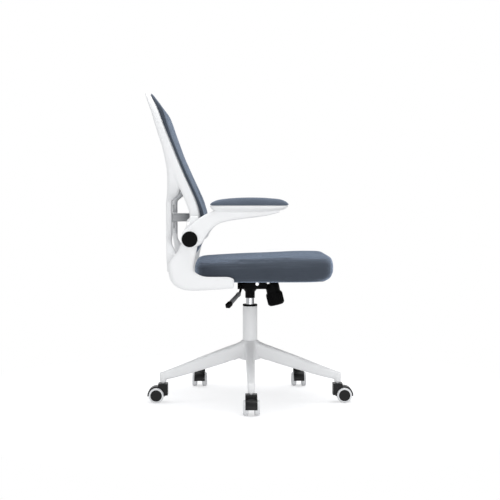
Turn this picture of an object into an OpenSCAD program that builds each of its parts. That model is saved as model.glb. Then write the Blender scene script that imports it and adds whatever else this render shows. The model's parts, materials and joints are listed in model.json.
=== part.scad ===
// Office chair on five castors with flip-up arms, seen facing +X
// Millimetres, Z up, origin on the floor under the column

/* [Seat] */
// Length of the seat cushion, front to back
seat_len = 463; // [440:1:478]
// Width of the seat cushion
seat_w = 490; // [460:1:520]
// Thickness of the seat cushion
seat_t = 82; // [70:1:94]
// Reach of the cushion in front of the column
seat_front = 277; // [268:1:288]
// Height of the seat board's underside above the lift's outer tube, at the lowest setting
seat_z = 97; // [94:1:101]
// Rise of the seat top from rear to front
seat_rise = 20; // [10:1:24]
// Thickness of the seat board
board_t = 12; // [9:0.5:15]

/* [Backrest] */
// Height of the backrest ring
back_h = 547; // [515:1:590]
// Width of the backrest ring
back_w = 466; // [440:1:474]
// Height of the ring's lowest edge above the seat board's underside
back_z = 76; // [68:1:80]
// Depth from the rear face of the uprights to the lumbar front of the ring
back_d = 112; // [104:1:118]
// Width of the ring's rail, seen from behind
rail_w = 24; // [18:1:30]
// Greatest depth of the ring's rail
rail_d = 35; // [28:1:38]
// Thickness of the padded mesh on the ring
mesh_t = 16; // [12:1:20]
// Height of the lumbar bar
lumbar_h = 30; // [24:1:34]
// Height of the lumbar bar's centre above the seat board's underside, at rest
lumbar_z = 208; // [204:1:212]
// Thickness of the lumbar bar's strap
lumbar_t = 5; // [4:0.5:7]

/* [Arms] */
// Distance of the flip pivot in front of the bracket's rear edge
pivot_back = 69; // [65:1:73]
// Height of the flip pivot above the seat board's underside
pivot_z = 142; // [138:1:148]
// Reach of the arm in front of its pivot
arm_len = 312; // [290:1:330]
// Rise from the pivot to the top of the arm's tray
arm_h = 106; // [98:1:116]
// Width of the arm's beam
arm_t = 30; // [26:1:34]
// Radius of the arm's pivot hub
hub_r = 28; // [27:1:30]
// Radius of the boss that the arm turns on
boss_r = 12; // [10:0.5:14]
// Radius of the black pivot cap
cap_r = 25; // [22:0.5:27]
// Length of the arm pad
pad_len = 248; // [230:1:260]
// Width of the arm pad
pad_w = 84; // [74:1:90]
// Thickness of the arm pad
pad_t = 24; // [16:1:30]

/* [Side brackets] */
// Length of the bracket, rear to front
bracket_len = 214; // [208:1:222]
// Height of the bracket
bracket_h = 237; // [230:1:244]
// Distance of the bracket's rear edge behind the cushion
bracket_back = 77; // [74:1:80]
// Thickness of the bracket's upper part
riser_t = 22; // [18:1:26]
// Thickness of the bracket's foot
foot_t = 34; // [30:1:38]
// Gap between the cushion and each bracket
bracket_gap = 5; // [3:0.5:8]
// Reach of the bracket's tab under the seat board
tab_reach = 58; // [43:1:68]
// Thickness of the bracket's tab
tab_t = 15; // [12:1:17]

/* [Star base] */
// Distance from the column to each castor stem
stem_circle_r = 308; // [295:1:330]
// Height of the top of the hub
hub_top_z = 197; // [190:1:205]
// Height of the hub
hub_h = 66; // [60:1:72]
// Radius of the hub
hub_out_r = 36; // [35:0.5:38]
// Height of the top of a leg at its tip
tip_z = 101; // [97:1:106]
// Height of a leg's end
tip_h = 24; // [20:1:26]
// Width of a leg at the hub
leg_root_w = 38; // [32:1:39]
// Width of a leg at its tip
leg_tip_w = 24; // [23:1:28]
// Wall of the hollow legs
leg_wall = 4; // [3:0.5:5]
// Height of the socket's lower end above the floor
socket_z = 67; // [66:0.5:70]

/* [Castors] */
// Diameter of a wheel
wheel_d = 50; // [46:1:52]
// Width of a wheel
wheel_w = 17; // [14:0.5:19]
// Gap between the two wheels of a castor
wheel_gap = 19; // [17:0.5:22]
// Diameter of the dark disc in a wheel
disc_d = 38; // [32:1:40]
// Offset of the wheel axle from the swivel axis
trail = 22; // [20:0.5:25]
// Height of the hood's top
hood_z = 64; // [62:0.5:65]
// Width of the hood
hood_w = 38; // [34:1:42]
// Diameter of the castor stem
stem_d = 11; // [9:0.5:12]
// Diameter of the wheel axle
axle_d = 6; // [5:0.5:8]

/* [Gas lift] */
// Outer diameter of the lift's outer tube
tube_d = 50; // [48:1:52]
// Height of the outer tube's top
tube_top_z = 315; // [305:1:320]
// Length of the outer tube
tube_l = 184; // [180:1:190]
// Wall of the outer tube
tube_wall = 2.5; // [2:0.1:3]
// Height of the black collar on the tube
collar_h = 6.5; // [4:0.5:9]
// Diameter of the bright cylinder
cyl_d = 28; // [27:0.5:29]
// Diameter of the piston rod
rod_d = 10; // [8:0.5:12]
// Lift travel
lift_travel = 100; // [80:1:102]

/* [Tilt mechanism] */
// Distance of the tilt pin in front of the column
tilt_x = 24; // [23:0.5:26]
// Drop of the tilt pin below the seat board
tilt_drop = 19; // [18:0.5:20]
// Diameter of the tilt pin
tilt_pin_d = 8; // [6:0.5:10]
// Width of the mechanism's housing
mech_w = 68; // [64:1:76]
// Thickness of the steel seat plate
plate_t = 3; // [2:0.5:4]
// Slope of the tension spring's axis from vertical
spring_slope = 13.5; // [12:0.5:15]
// Diameter of the spring barrel
barrel_d = 47.4; // [44:0.2:50]
// Diameter of the tension knob
knob_d = 54; // [52:1:58]
// Height of the tension knob
knob_h = 43; // [40:1:48]
// Diameter of the tension screw
screw_d = 8; // [7:0.5:9]
// Diameter of the spring's wire
spring_wire_d = 4; // [3:0.5:5]
// Turns of the tension spring
spring_turns = 6; // [4:1:8]
// Diameter of the lever's rod
lever_d = 8; // [7:0.5:9]
// Diameter of the lever's grip
grip_d = 12.5; // [10:0.5:14]
// Length of the lever's grip
grip_l = 92; // [80:1:100]

/* [Hidden] */
$fn = 64;

// Fits: radial running clearance, seat gap of soft and moving pieces, overrun of cuts
run_fit = 0.05;
seat_gap = 0.3;
cut = 1;

// Colours
white_col = [0.90, 0.91, 0.92];
black_col = [0.07, 0.07, 0.08];
fabric_col = [0.35, 0.39, 0.45];
steel_col = [0.72, 0.73, 0.75];

// Points of a rounded box outline in polar steps; power 2 is an ellipse, higher is squarer
function oval_pt(hx, hy, power, a) =
  let (r = pow(pow(abs(cos(a)) / hx, power) + pow(abs(sin(a)) / hy, power), -1 / power))
  [r * cos(a), r * sin(a)];

// Smooth value at s from rows of [s, value]
function smooth_at(s, rows) =
  let (
    last = len(rows) - 1,
    i = min(max(len([for (r = rows) if (r[0] <= s) r]) - 1, 0), last - 1),
    before = rows[max(i - 1, 0)], a = rows[i], b = rows[i + 1], after = rows[min(i + 2, last)],
    h = b[0] - a[0],
    t = min(max((s - a[0]) / h, 0), 1),
    slope_a = (b[1] - before[1]) / (b[0] - before[0]),
    slope_b = (after[1] - a[1]) / (after[0] - a[0])
  )
  a[1] + (b[1] - a[1]) * t * t * (3 - 2 * t)
    + h * t * (1 - t) * (slope_a * (1 - t) - slope_b * t);

function mean_pt(ring) = [for (k = [0:2]) [for (p = ring) p[k]] * [for (p = ring) 1] / len(ring)];

// Closed skin over rings that run anticlockwise seen from the last; looped rings join last to first
module skin(rings, looped = false) {
  n = len(rings[0]);
  m = len(rings);
  last = looped ? m - 1 : m - 2;
  sides = [
    for (i = [0:last], j = [0:n - 1])
      let (k = (i + 1) % m, q = (j + 1) % n)
        each [[i * n + j, k * n + q, i * n + q], [i * n + j, k * n + j, k * n + q]]
  ];
  caps = looped ? [] : [
    for (j = [0:n - 1])
      let (q = (j + 1) % n)
        each [[m * n, j, q], [m * n + 1, (m - 1) * n + q, (m - 1) * n + j]]
  ];
  ends = looped ? [] : [mean_pt(rings[0]), mean_pt(rings[m - 1])];
  polyhedron(points = concat([for (r = rings) each r], ends), faces = concat(sides, caps), convexity = 8);
}

// Beam along Z through stations of [z, x_rear, x_front, y_in, y_out]
module upright(stations, chamfer_share = 0.22) {
  skin([
    for (s = stations)
      let (
        cx = (s[2] - s[1]) * chamfer_share, cy = (s[4] - s[3]) * chamfer_share,
        x = [s[1], s[1] + cx, s[2] - cx, s[2]], y = [s[3], s[3] + cy, s[4] - cy, s[4]]
      )
      [
        [x[1], y[0], s[0]], [x[2], y[0], s[0]], [x[3], y[1], s[0]], [x[3], y[2], s[0]],
        [x[2], y[3], s[0]], [x[1], y[3], s[0]], [x[0], y[2], s[0]], [x[0], y[1], s[0]]
      ]
  ]);
}

// Soft pillow of half sizes hx, hy: layers of [height share, drawn-in share of the height]
module pillow(hx, hy, h, power, layers, steps, rise = 0) {
  skin([
    for (l = layers) [
      for (i = [0:steps - 1])
        let (p = oval_pt(hx - l[1] * h, hy - l[1] * h, power, 360 * i / steps))
        [p[0], p[1], l[0] * h + rise * l[0] * p[0] / hx]
    ]
  ]);
}

// Screw with a socket head: shank up +Z from the seat of its head
module bolt(length, d) {
  head_d = d * bolt_head_share;
  head_h = d * bolt_head_h_share;
  cylinder(d = d, h = length);
  difference() {
    translate([0, 0, -head_h]) cylinder(d = head_d, h = head_h);
    translate([0, 0, -head_h - cut]) cylinder(d = d * bolt_key_share, h = head_h / 2 + cut, $fn = 6);
  }
}

module both_sides() {
  children();
  mirror([0, 1, 0]) children();
}

// Along Y from y, at a place in the side view
module crosswise(x, y, z) {
  translate([x, y, z]) rotate([90, 0, 180]) children();
}

// Side outline of [x, z] points raised towards +Y from y
module side_plate(points, y, t) {
  translate([0, y + t, 0]) rotate([90, 0, 0]) linear_extrude(t) polygon(points);
}

// Bolts: the heads' sizes are shares of the diameter
frame_bolt_d = 6;
bolt_head_share = 1.8;
bolt_head_h_share = 0.8;
bolt_key_share = 0.8;
bolt_fit = 0.1;
plate_bolt_l = 12;
tab_bolt_l = 24;
side_bolt_in = 25;

// Heights that follow the lift
board_z = tube_top_z + seat_z;
ring_z = board_z + back_z;
bar_z = board_z + lumbar_z;
hinge_z = board_z + pivot_z;

// Seat heights and places
seat_mid_x = seat_front - seat_len / 2;
cushion_z = board_z + 2 * seat_gap;
board_margin = 27;
board_len = seat_len - 2 * board_margin;
board_w = seat_w - 2 * board_margin;
board_power = 7;
seat_power = 7;
seat_steps = 56;
seat_layers_shares = [
  [0, 0.36], [0.03, 0.22], [0.12, 0.09], [0.3, 0.01], [0.5, 0], [0.68, 0.015], [0.8, 0.065],
  [0.875, 0.16], [0.92, 0.36], [0.95, 0.8], [1.0, 1.5]
];

// Side brackets: they stand clear of both cushion and backrest; outline in shares of length and height
foot_reach = 17;
bracket_y = max(seat_w / 2 + bracket_gap, back_w / 2 + foot_reach);
bracket_rear_x = seat_front - seat_len - bracket_back;
foot_drop = 23;
foot_z = board_z - foot_drop;
bracket_shares = [
  [0.304, 0.966], [0.322, 1], [0.449, 1], [0.458, 0.806], [0.453, 0.667], [0.42, 0.578],
  [0.407, 0.477], [0.379, 0.392], [0.369, 0.308], [0.393, 0.257], [0.463, 0.207], [0.547, 0.186],
  [0.911, 0.181], [0.958, 0.16], [0.986, 0.114], [1, 0.072], [0.977, 0.034], [0.664, 0.017],
  [0.294, 0], [0.234, 0.008], [0.173, 0.03], [0.093, 0.068], [0.033, 0.135], [0.005, 0.211],
  [0, 0.283], [0.005, 0.376], [0.07, 0.447], [0.14, 0.532], [0.182, 0.616], [0.196, 0.722],
  [0.238, 0.827], [0.29, 0.903]
];
bracket_pts = [
  for (p = bracket_shares) [bracket_rear_x + p[0] * bracket_len, foot_z + p[1] * bracket_h]
];
foot_cut_share = 0.38;
foot_cut_z = foot_z + bracket_h * foot_cut_share;
tab_x0_share = 0.53;
tab_x1_share = 0.93;
tab_x0 = bracket_rear_x + tab_x0_share * bracket_len;
tab_x1 = bracket_rear_x + tab_x1_share * bracket_len;
tab_in_y = board_w / 2 - tab_reach;
tab_bolt_count = 3;
tab_bolt_share = 0.47;
tab_bolt_y = tab_in_y + tab_reach * tab_bolt_share;
tab_bolt_x = [
  for (i = [1:tab_bolt_count]) tab_x0 + (tab_x1 - tab_x0) * (i - 0.5) / tab_bolt_count
];
tab_bolt_places = [for (x = tab_bolt_x, s = [-1, 1]) [x, s * tab_bolt_y]];
upper_bolt_shares = [0.308, 0.9];
lower_bolt_shares = [0.1, 0.43];
side_bolts = [
  for (p = [upper_bolt_shares, lower_bolt_shares])
    [bracket_rear_x + p[0] * bracket_len, foot_z + p[1] * bracket_h]
];
head_sink = 5.5;

// Backrest: front face and rail depth against height, in shares of back_d, rail_d and back_h
back_power = 5;
back_step = 14;
back_rear_x = bracket_rear_x - back_step;
back_steps = 72;
chamfer_shares = [0, 0.22, 0.78, 1];
ring_chamfer_share = 0.18;
back_front_shares = [
  [-0.1, 0.6], [0, 0.66], [0.03, 0.73], [0.1225, 0.92], [0.2026, 0.99], [0.2593, 1], [0.313, 0.94],
  [0.382, 0.81], [0.454, 0.652], [0.523, 0.5], [0.663, 0.214], [0.802, -0.063], [0.874, -0.196],
  [0.945, -0.366], [1, -0.523]
];
back_depth_shares = [[0, 0.7], [0.2, 0.86], [0.38, 1], [0.61, 0.97], [0.81, 0.74], [0.94, 0.57], [1, 0.4]];
function back_share(z) = (z - ring_z) / back_h;
function back_x(z) = back_rear_x + back_d * smooth_at(back_share(z), back_front_shares);
function back_rear(z) = back_x(z) - rail_d * lookup(back_share(z), back_depth_shares);
back_mid_z = ring_z + back_h / 2;

// Uprights in shares: height of back_h, rear and front face of back_d, inner and outer of half back_w
upright_shares = [
  [-0.075, 0.06, 0.4, 0.93, 1.0], [0.03, 0.04, 0.33, 0.93, 1.0], [0.09, 0.02, 0.19, 0.78, 0.9],
  [0.15, 0, 0.18, 0.62, 0.73], [0.33, 0, 0.18, 0.62, 0.73], [0.385, 0.04, 0.40, 0.64, 0.8],
  [0.466, 0.06, 0.44, 0.7, 0.88], [0.557, 0.03, 0.34, 0.8, 0.96], [0.648, -0.06, 0.18, 0.88, 0.985],
  [0.74, -0.18, 0.0, 0.91, 0.985]
];
upright_pts = [
  for (s = upright_shares) [
    ring_z + s[0] * back_h, back_rear_x + s[1] * back_d, back_rear_x + s[2] * back_d,
    s[3] * back_w / 2, s[4] * back_w / 2
  ]
];
straight_shares = upright_shares[3];
straight_in = straight_shares[3] * back_w / 2;
straight_depth = (straight_shares[2] - straight_shares[1]) * back_d;
foot_back = 9;
foot_front = 21;
foot_half_h = 15;
foot_sink = 18;
mesh_power = 4.4;
mesh_inset = 3;
mesh_gap = 1.3;
mesh_steps = 60;
mesh_shares = [
  [0.2, 0], [0.4, 0], [0.6, 0], [0.78, 0], [0.9, 0], [0.97, 0], [0.992, 0.06], [1, 0.3], [0.998, 0.6],
  [0.985, 0.86], [0.96, 0.97], [0.9, 1.0], [0.78, 1.0], [0.6, 1.0], [0.4, 1.0], [0.2, 1.0]
];
mesh_top_shares = [
  [0, 0.7], [0.05, 0.78], [0.3, 0.76], [0.4, 0.68], [0.6, 0.68], [0.7, 0.72], [0.78, 0.84], [0.84, 1],
  [0.88, 0.98], [0.93, 0.66], [0.97, 0.53], [1, 0.36]
];

// Lumbar bar: tongues slide in grooves of the uprights' inner faces, the strap bows forward
lumbar_front = 82;
lumbar_travel = 25;
groove_w = 8;
groove_d = 5;
groove_room = 2;
tongue_slack = 0.4;
block_l = 10;
block_lead = 2;
lumbar_steps = 12;
lumbar_bow = 2.6;

// Arms: outline in shares of length and rise from the pivot
arm_shares = [
  [-0.064, 0.17], [-0.003, 0.358], [0.087, 0.604], [0.176, 0.755], [0.25, 0.84], [0.3, 0.93],
  [0.9, 0.93], [0.772, 0.69], [0.622, 0.622], [0.41, 0.555], [0.301, 0.478], [0.231, 0.332],
  [0.16, 0.113], [0.083, -0.057]
];
pivot_x = bracket_rear_x + pivot_back;
arm_pts = [for (p = arm_shares) [pivot_x + p[0] * arm_len, hinge_z + p[1] * arm_h]];
arm_y = bracket_y + riser_t + seat_gap;
arm_top_z = hinge_z + arm_h;
pad_mid_x = pivot_x + arm_len - pad_len / 2;
arm_mid_y = arm_y + arm_t / 2;

// Tray under each pad: layers of [length, width, depth below the tray's top] in shares
tray_depth = 18;
tray_lip = 3;
tray_steps = 32;
tray_power = 3.2;
tray_layer_shares = [[1, 1, 0.17], [0.97, 0.93, 0.34], [0.86, 0.53, 1]];

// Pads and pivot caps
cap_t = 4;
cap_stub_d = 12;
cap_stub_l = 20;
cap_edge = 1.2;
pad_power = 3.2;
pad_steps = 40;
pad_layers_shares = [[0, 0.12], [0.12, 0], [0.35, 0], [0.6, 0.08], [0.8, 0.25], [0.93, 0.6], [1, 1.15]];

// Star base: hollow legs, root and tip blended in shares of the reach
leg_count = 5;
leg_turn = 360 / leg_count;
first_leg_a = -90;
tip_r = stem_circle_r + leg_tip_w / 2;
hub_z = hub_top_z - hub_h;
leg_root_r = 28;
leg_top_drop = 3;
leg_overlap = 5;
leg_bottom_rise = 6;
leg_mid_share = 0.45;
leg_mid_w_share = 0.78;
leg_neck = 0.8;
leg_tip_reach = 9;
socket_d = 22;
stem_grip_l = 27;
stem_groove = 0.8;
hub_step = 7;

// Castors: trailing angle of each
caster_trail_a = [-90, 0, -90, -90, 180];
hood_wall = 3;
wheel_clear = 1.5;
web_clear = 1;
web_t = wheel_gap - 2 * web_clear;
wheel_z = wheel_d / 2;
stem_fit_l = 26;
hood_low_z = 22;
hood_front = 16;
tread_round = 3;
rim_wall = 4;
disc_t = 4.5;
sleeve_wall = 3;
axle_in = 4;
axle_l = wheel_gap + 2 * (wheel_w - axle_in);

// Gas lift: the rod stands in the tube's floor and the cylinder slides up on it
tube_z = tube_top_z - tube_l;
floor_t = 6;
collar_grip_l = 65;
collar_wall_gap = 0.1;
cyl_wall = 2.5;
cyl_rise = 10;
cyl_z = tube_z + floor_t + cyl_rise;
cyl_drop = 29.5;
cyl_top_z = board_z - cyl_drop;
cyl_cap_t = 26;
guide_t = 15;
piston_t = 11;
rod_flange_t = 5;
rod_flange_r = 9;
clip_t = 3;
pin_d = 8;
pin_rise = 4;
pin_l = 18;
pin_room = 4;

// Tilt mechanism: everything hangs at a drop below the seat board's underside
tilt_z = board_z - tilt_drop;
plate_z = board_z - plate_t;
plate_back_share = 0.566;
plate_front_share = 0.48;
plate_back = (seat_len - seat_front - board_margin) * plate_back_share;
plate_len = plate_back + (seat_front - board_margin) * plate_front_share;
plate_w = 130;
plate_bolt_margin = 15;
plate_bolt_places = [
  for (x = [plate_bolt_margin - plate_back, plate_len - plate_back - plate_bolt_margin], s = [-1, 1])
    [x, s * (plate_w / 2 - plate_bolt_margin)]
];
flange_t = 3;
flange_gap = 0.5;
flange_drop = 30;
flange_len = 52;
housing_top_drop = 19;
housing_h = 18;
housing_top_z = board_z - housing_top_drop;
housing_z = housing_top_z - housing_h;
housing_back = 43;
housing_front = 58;
cavity_front = 46;
ear_r = 8;
housing_wall = 3;
socket_out_d = 33;
socket_l = 32;
socket_cone_l = 11;
socket_low_z = housing_z - socket_l;
socket_cone_z = housing_z - socket_cone_l;
socket_cone_d = 50;
pin_head = 1.5;

// Tension spring set: its axis passes knob_top and slopes forward going down
knob_top_x = 81.5;
knob_top_drop = 51;
knob_top_z = board_z - knob_top_drop;
anchor_up = 40.5;
eye_d = 13;
eye_t = 12;
eye_pin_d = 7;
eye_pin_l = 30;
eye_slack = 0.6;
yoke_t = 4;
yoke_gap = 1;
barrel_up = 32;
barrel_down = 2;
barrel_wall = 2.4;
knob_wall = 2.6;
knob_floor_s = 24;
knob_ribs = 24;
knob_rib_d = 3.4;
knob_round = 4;
screw_s = 32;
knob_rise = 8;
screw_hole_gap = 0.8;
spring_d = 30;
spring_sides = 6;
spring_steps = 10;
spring_cup_t = 3;
cup_slack = 0.8;

// Height lever: rod from the lock block out to the grip
lever_x = -31;
lever_drop = 29;
lever_z = board_z - lever_drop;
lock_y = 15.5;
lock_l = 14;
lock_d = 16;
lever_out = 88;
lever_bend_x = -36;
lever_bend_y = 112;
lever_bend_drop = 15;
grip_end_x = -77;
grip_end_y = 188;
grip_end_drop = 53;
finger_w = 9;
finger_t = 4;
finger_reach = 8;
bush_d = 12;
bush_l = 9;
slot_rise = 5;
slot_gap = 0.5;
lock_pin_d = 4;
lock_cheek = 3.4;
finger_drop = 4;
bush_gap = 2;
grip_hold_share = 0.5;
knuckle_share = 1.1;
grip_tip_share = 0.4;
grip_end_share = 0.55;
lever_pts = [
  [lever_x, -lock_y + lock_l / 2, lever_z],
  [lever_x, -lever_out, lever_z],
  [lever_bend_x, -lever_bend_y, lever_z - lever_bend_drop],
  [grip_end_x, -grip_end_y, lever_z - grip_end_drop]
];
grip_hold = lever_pts[2] + (lever_pts[3] - lever_pts[2]) * grip_hold_share;

// Star base
module leg_solid(inset, r_start, r_end) {
  top_slope = (hub_top_z - leg_top_drop - tip_z) / (tip_r - leg_root_r);
  low_end = stem_circle_r - socket_d / 2;
  low_slope = (hub_z + leg_bottom_rise - tip_z + tip_h) / (low_end - leg_root_r);
  r_mid = leg_root_r + (tip_r - leg_root_r) * leg_mid_share;
  widths = [
    [leg_root_r, leg_root_w / 2], [r_mid, leg_root_w * leg_mid_w_share / 2],
    [stem_circle_r, leg_tip_w / 2 - leg_neck], [tip_r, leg_tip_w / 2 - leg_neck - leg_tip_reach / 2]
  ];
  top = [for (r = [r_end, r_start]) [r, hub_top_z - leg_top_drop - top_slope * (r - leg_root_r)]];
  low = [
    for (r = [r_start, low_end, r_end]) if (r <= r_end)
      [r, max(tip_z - tip_h, hub_z + leg_bottom_rise - low_slope * (r - leg_root_r))]
  ];
  plan = [for (r = [r_start, r_mid, r_end]) [r, lookup(r, widths) - inset]];
  intersection() {
    side_plate(concat(low, top), -leg_root_w, 2 * leg_root_w);
    linear_extrude(2 * hub_top_z) polygon(concat(plan, [for (i = [2:-1:0]) [plan[i][0], -plan[i][1]]]));
  }
}

module each_leg() {
  for (i = [0:leg_count - 1]) rotate([0, 0, first_leg_a + i * leg_turn]) children();
}

module base_star() {
  color(white_col)
    difference() {
      union() {
        translate([0, 0, hub_z]) cylinder(r = hub_out_r, h = hub_h - hub_step);
        translate([0, 0, hub_top_z - hub_step])
          cylinder(r1 = hub_out_r, r2 = hub_out_r - hub_step, h = hub_step);
        each_leg() {
          leg_solid(0, leg_root_r - leg_overlap, stem_circle_r + leg_tip_reach);
          translate([stem_circle_r, 0, socket_z]) cylinder(d = socket_d, h = tip_z - socket_z);
          translate([stem_circle_r, 0, tip_z - tip_h]) cylinder(d = leg_tip_w, h = tip_h);
        }
      }
      translate([0, 0, hub_z - cut]) cylinder(d = tube_d, h = hub_h + 2 * cut);
      each_leg() {
        translate([0, 0, -leg_wall])
          leg_solid(leg_wall, hub_out_r + leg_wall, stem_circle_r - socket_d / 2 - leg_wall);
        translate([stem_circle_r, 0, socket_z - cut]) cylinder(d = stem_d, h = stem_grip_l + cut);
      }
    }
}

module caster_stems() {
  color(steel_col)
    each_leg()
      translate([stem_circle_r, 0, 0])
        difference() {
          translate([0, 0, hood_z - stem_fit_l])
            cylinder(d = stem_d, h = socket_z + stem_grip_l - hood_z + stem_fit_l);
          translate([0, 0, hood_z - stem_fit_l / 2])
            rotate_extrude() translate([stem_d / 2, 0]) circle(r = stem_groove, $fn = 24);
        }
}

// Castors: local frame has the swivel axis at the origin and the wheel axle at +X
module at_caster(i) {
  a = first_leg_a + (i - 1) * leg_turn;
  translate([stem_circle_r * cos(a), stem_circle_r * sin(a), 0])
    rotate([0, 0, caster_trail_a[i - 1]]) children();
}

module axle_rod(d, l) {
  translate([trail, l / 2, wheel_z]) rotate([90, 0, 0]) cylinder(d = d, h = l);
}

module caster_hood(i) {
  fender_r = wheel_d / 2 + wheel_clear + hood_wall;
  color(black_col)
    at_caster(i)
      difference() {
        union() {
          difference() {
            union() {
              translate([-hood_front, -hood_w / 2, wheel_z])
                cube([2 * hood_front, hood_w, hood_z - wheel_z]);
              axle_rod(2 * fender_r, hood_w);
            }
            for (s = [-1, 1])
              translate([0, s * (web_t + hood_w) / 2, 0]) axle_rod(wheel_d + 2 * wheel_clear, hood_w);
            translate([-wheel_d, -hood_w, hood_low_z - wheel_d]) cube([3 * wheel_d, 2 * hood_w, wheel_d]);
          }
          axle_rod(axle_d + 2 * rim_wall, web_t);
        }
        translate([0, 0, hood_z - stem_fit_l - seat_gap])
          cylinder(d = stem_d + 2 * run_fit, h = stem_fit_l + seat_gap + cut);
        axle_rod(axle_d, hood_w);
      }
}

module caster_axle(i) {
  color(steel_col) at_caster(i) axle_rod(axle_d, axle_l);
}

// Wheel side: +1 for the a wheel, -1 for the b wheel
module on_axle(i, side) {
  at_caster(i)
    translate([trail, side * wheel_gap / 2, wheel_z])
      rotate([-90 * side, 0, 0]) children();
}

module wheel(i, side) {
  sleeve_r = axle_d / 2 + sleeve_wall;
  r = wheel_d / 2;
  color(white_col)
    on_axle(i, side)
      rotate_extrude()
        polygon([
          [sleeve_r, 0], [r - tread_round, 0], [r - tread_round / 4, tread_round / 3],
          [r, tread_round], [r, wheel_w - tread_round * 1.5],
          [r - tread_round / 2, wheel_w - tread_round / 2], [r - tread_round, wheel_w],
          [disc_d / 2, wheel_w], [disc_d / 2, wheel_w - disc_t], [sleeve_r, wheel_w - disc_t]
        ]);
}

module wheel_disc(i, side) {
  sleeve_r = axle_d / 2 + sleeve_wall;
  bore_r = axle_d / 2 + run_fit;
  end_z = (axle_l - wheel_gap) / 2 + seat_gap;
  color(black_col)
    on_axle(i, side)
      rotate_extrude()
        polygon([
          [bore_r, 0], [sleeve_r, 0], [sleeve_r, wheel_w - disc_t], [disc_d / 2, wheel_w - disc_t],
          [disc_d / 2, wheel_w - disc_t / 4], [disc_d / 2 - disc_t / 3, wheel_w], [0, wheel_w],
          [0, end_z], [bore_r, end_z]
        ]);
}

// Gas lift
module lift_outer_tube() {
  color(white_col)
    difference() {
      translate([0, 0, tube_z]) cylinder(d = tube_d, h = tube_l);
      translate([0, 0, tube_z + floor_t]) cylinder(d = tube_d - 2 * tube_wall, h = tube_l);
      translate([0, 0, tube_z - cut]) cylinder(d = rod_d + 2 * run_fit, h = floor_t + 2 * cut);
    }
}

module lift_collar() {
  color(black_col)
    difference() {
      union() {
        translate([0, 0, tube_top_z]) cylinder(d = tube_d, h = collar_h);
        translate([0, 0, tube_top_z - collar_grip_l])
          cylinder(d = tube_d - 2 * tube_wall - 2 * collar_wall_gap, h = collar_grip_l + collar_h / 2);
      }
      translate([0, 0, tube_z]) cylinder(d = cyl_d + 2 * run_fit, h = tube_l * 2);
    }
}

module piston_rod() {
  piston_z = cyl_z + guide_t + lift_travel + seat_gap;
  color(steel_col) {
    translate([0, 0, tube_z - clip_t - seat_gap]) cylinder(r = rod_flange_r, h = clip_t);
    translate([0, 0, tube_z - clip_t]) cylinder(d = rod_d, h = piston_z - tube_z + clip_t);
    translate([0, 0, tube_z + floor_t + seat_gap]) cylinder(r = rod_flange_r, h = rod_flange_t - seat_gap);
    translate([0, 0, piston_z]) cylinder(d = cyl_d - 2 * cyl_wall - 2 * run_fit, h = piston_t);
  }
}

module lift_cylinder() {
  color(steel_col)
    difference() {
      translate([0, 0, cyl_z]) cylinder(d = cyl_d, h = cyl_top_z - cyl_z);
      translate([0, 0, cyl_z + guide_t])
        cylinder(d = cyl_d - 2 * cyl_wall, h = cyl_top_z - cyl_cap_t - cyl_z - guide_t);
      translate([0, 0, cyl_z - cut]) cylinder(d = rod_d + 2 * run_fit, h = guide_t + 2 * cut);
      translate([0, 0, cyl_top_z - pin_l + pin_rise - pin_room])
        cylinder(d = pin_d + 2 * run_fit, h = pin_l + pin_room);
    }
}

module release_pin() {
  color(steel_col) translate([0, 0, cyl_top_z + pin_rise - pin_l]) cylinder(d = pin_d, h = pin_l);
}

// Tilt mechanism
module on_spring_axis(s) {
  translate([knob_top_x, 0, knob_top_z])
    rotate([0, 180 - spring_slope, 0])
      translate([0, 0, s]) children();
}

module cross_rod(x, z, d, l) {
  translate([x, l / 2, z]) rotate([90, 0, 0]) cylinder(d = d, h = l);
}

module mechanism_housing() {
  cavity_w = mech_w - 2 * housing_wall;
  color(black_col)
    difference() {
      union() {
        translate([-housing_back, -mech_w / 2, housing_z])
          cube([housing_back + housing_front, mech_w, housing_top_z - housing_z]);
        cross_rod(tilt_x, tilt_z, 2 * ear_r, mech_w);
        translate([0, 0, socket_low_z])
          cylinder(d = socket_out_d, h = housing_z - socket_low_z + housing_wall);
        translate([0, 0, socket_cone_z])
          cylinder(d1 = socket_out_d, d2 = socket_cone_d, h = housing_z - socket_cone_z);
        on_spring_axis(-barrel_up) cylinder(d = barrel_d, h = barrel_up + barrel_down);
      }
      translate([-housing_back + housing_wall, -cavity_w / 2, housing_z + housing_wall])
        cube([housing_back - housing_wall + cavity_front, cavity_w, housing_top_z]);
      on_spring_axis(barrel_wall - barrel_up)
        cylinder(d = barrel_d - 2 * barrel_wall, h = barrel_up + 2 * knob_h);
      on_spring_axis(-barrel_up - cut) cylinder(d = screw_d + 2 * screw_hole_gap, h = barrel_up);
      translate([0, 0, socket_low_z - cut]) cylinder(d = cyl_d, h = housing_top_z);
      cross_rod(tilt_x, tilt_z, tilt_pin_d, mech_w + 2 * cut);
      translate([lever_x - lever_d / 2 - slot_gap, -mech_w / 2 - cut, lever_z - lever_d / 2 - slot_gap])
        cube([lever_d + 2 * slot_gap, housing_wall + 2 * cut, lever_d + 2 * slot_gap + slot_rise]);
    }
}

module tilt_pin() {
  l = mech_w + 2 * flange_gap + 2 * flange_t + 2 * seat_gap;
  color(steel_col) {
    cross_rod(tilt_x, tilt_z, tilt_pin_d, l);
    for (s = [-1, 1])
      translate([tilt_x, s * (l / 2 + pin_head / 2), tilt_z])
        rotate([90, 0, 0]) cylinder(d = tilt_pin_d + 2 * pin_head, h = pin_head, center = true);
  }
}

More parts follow.
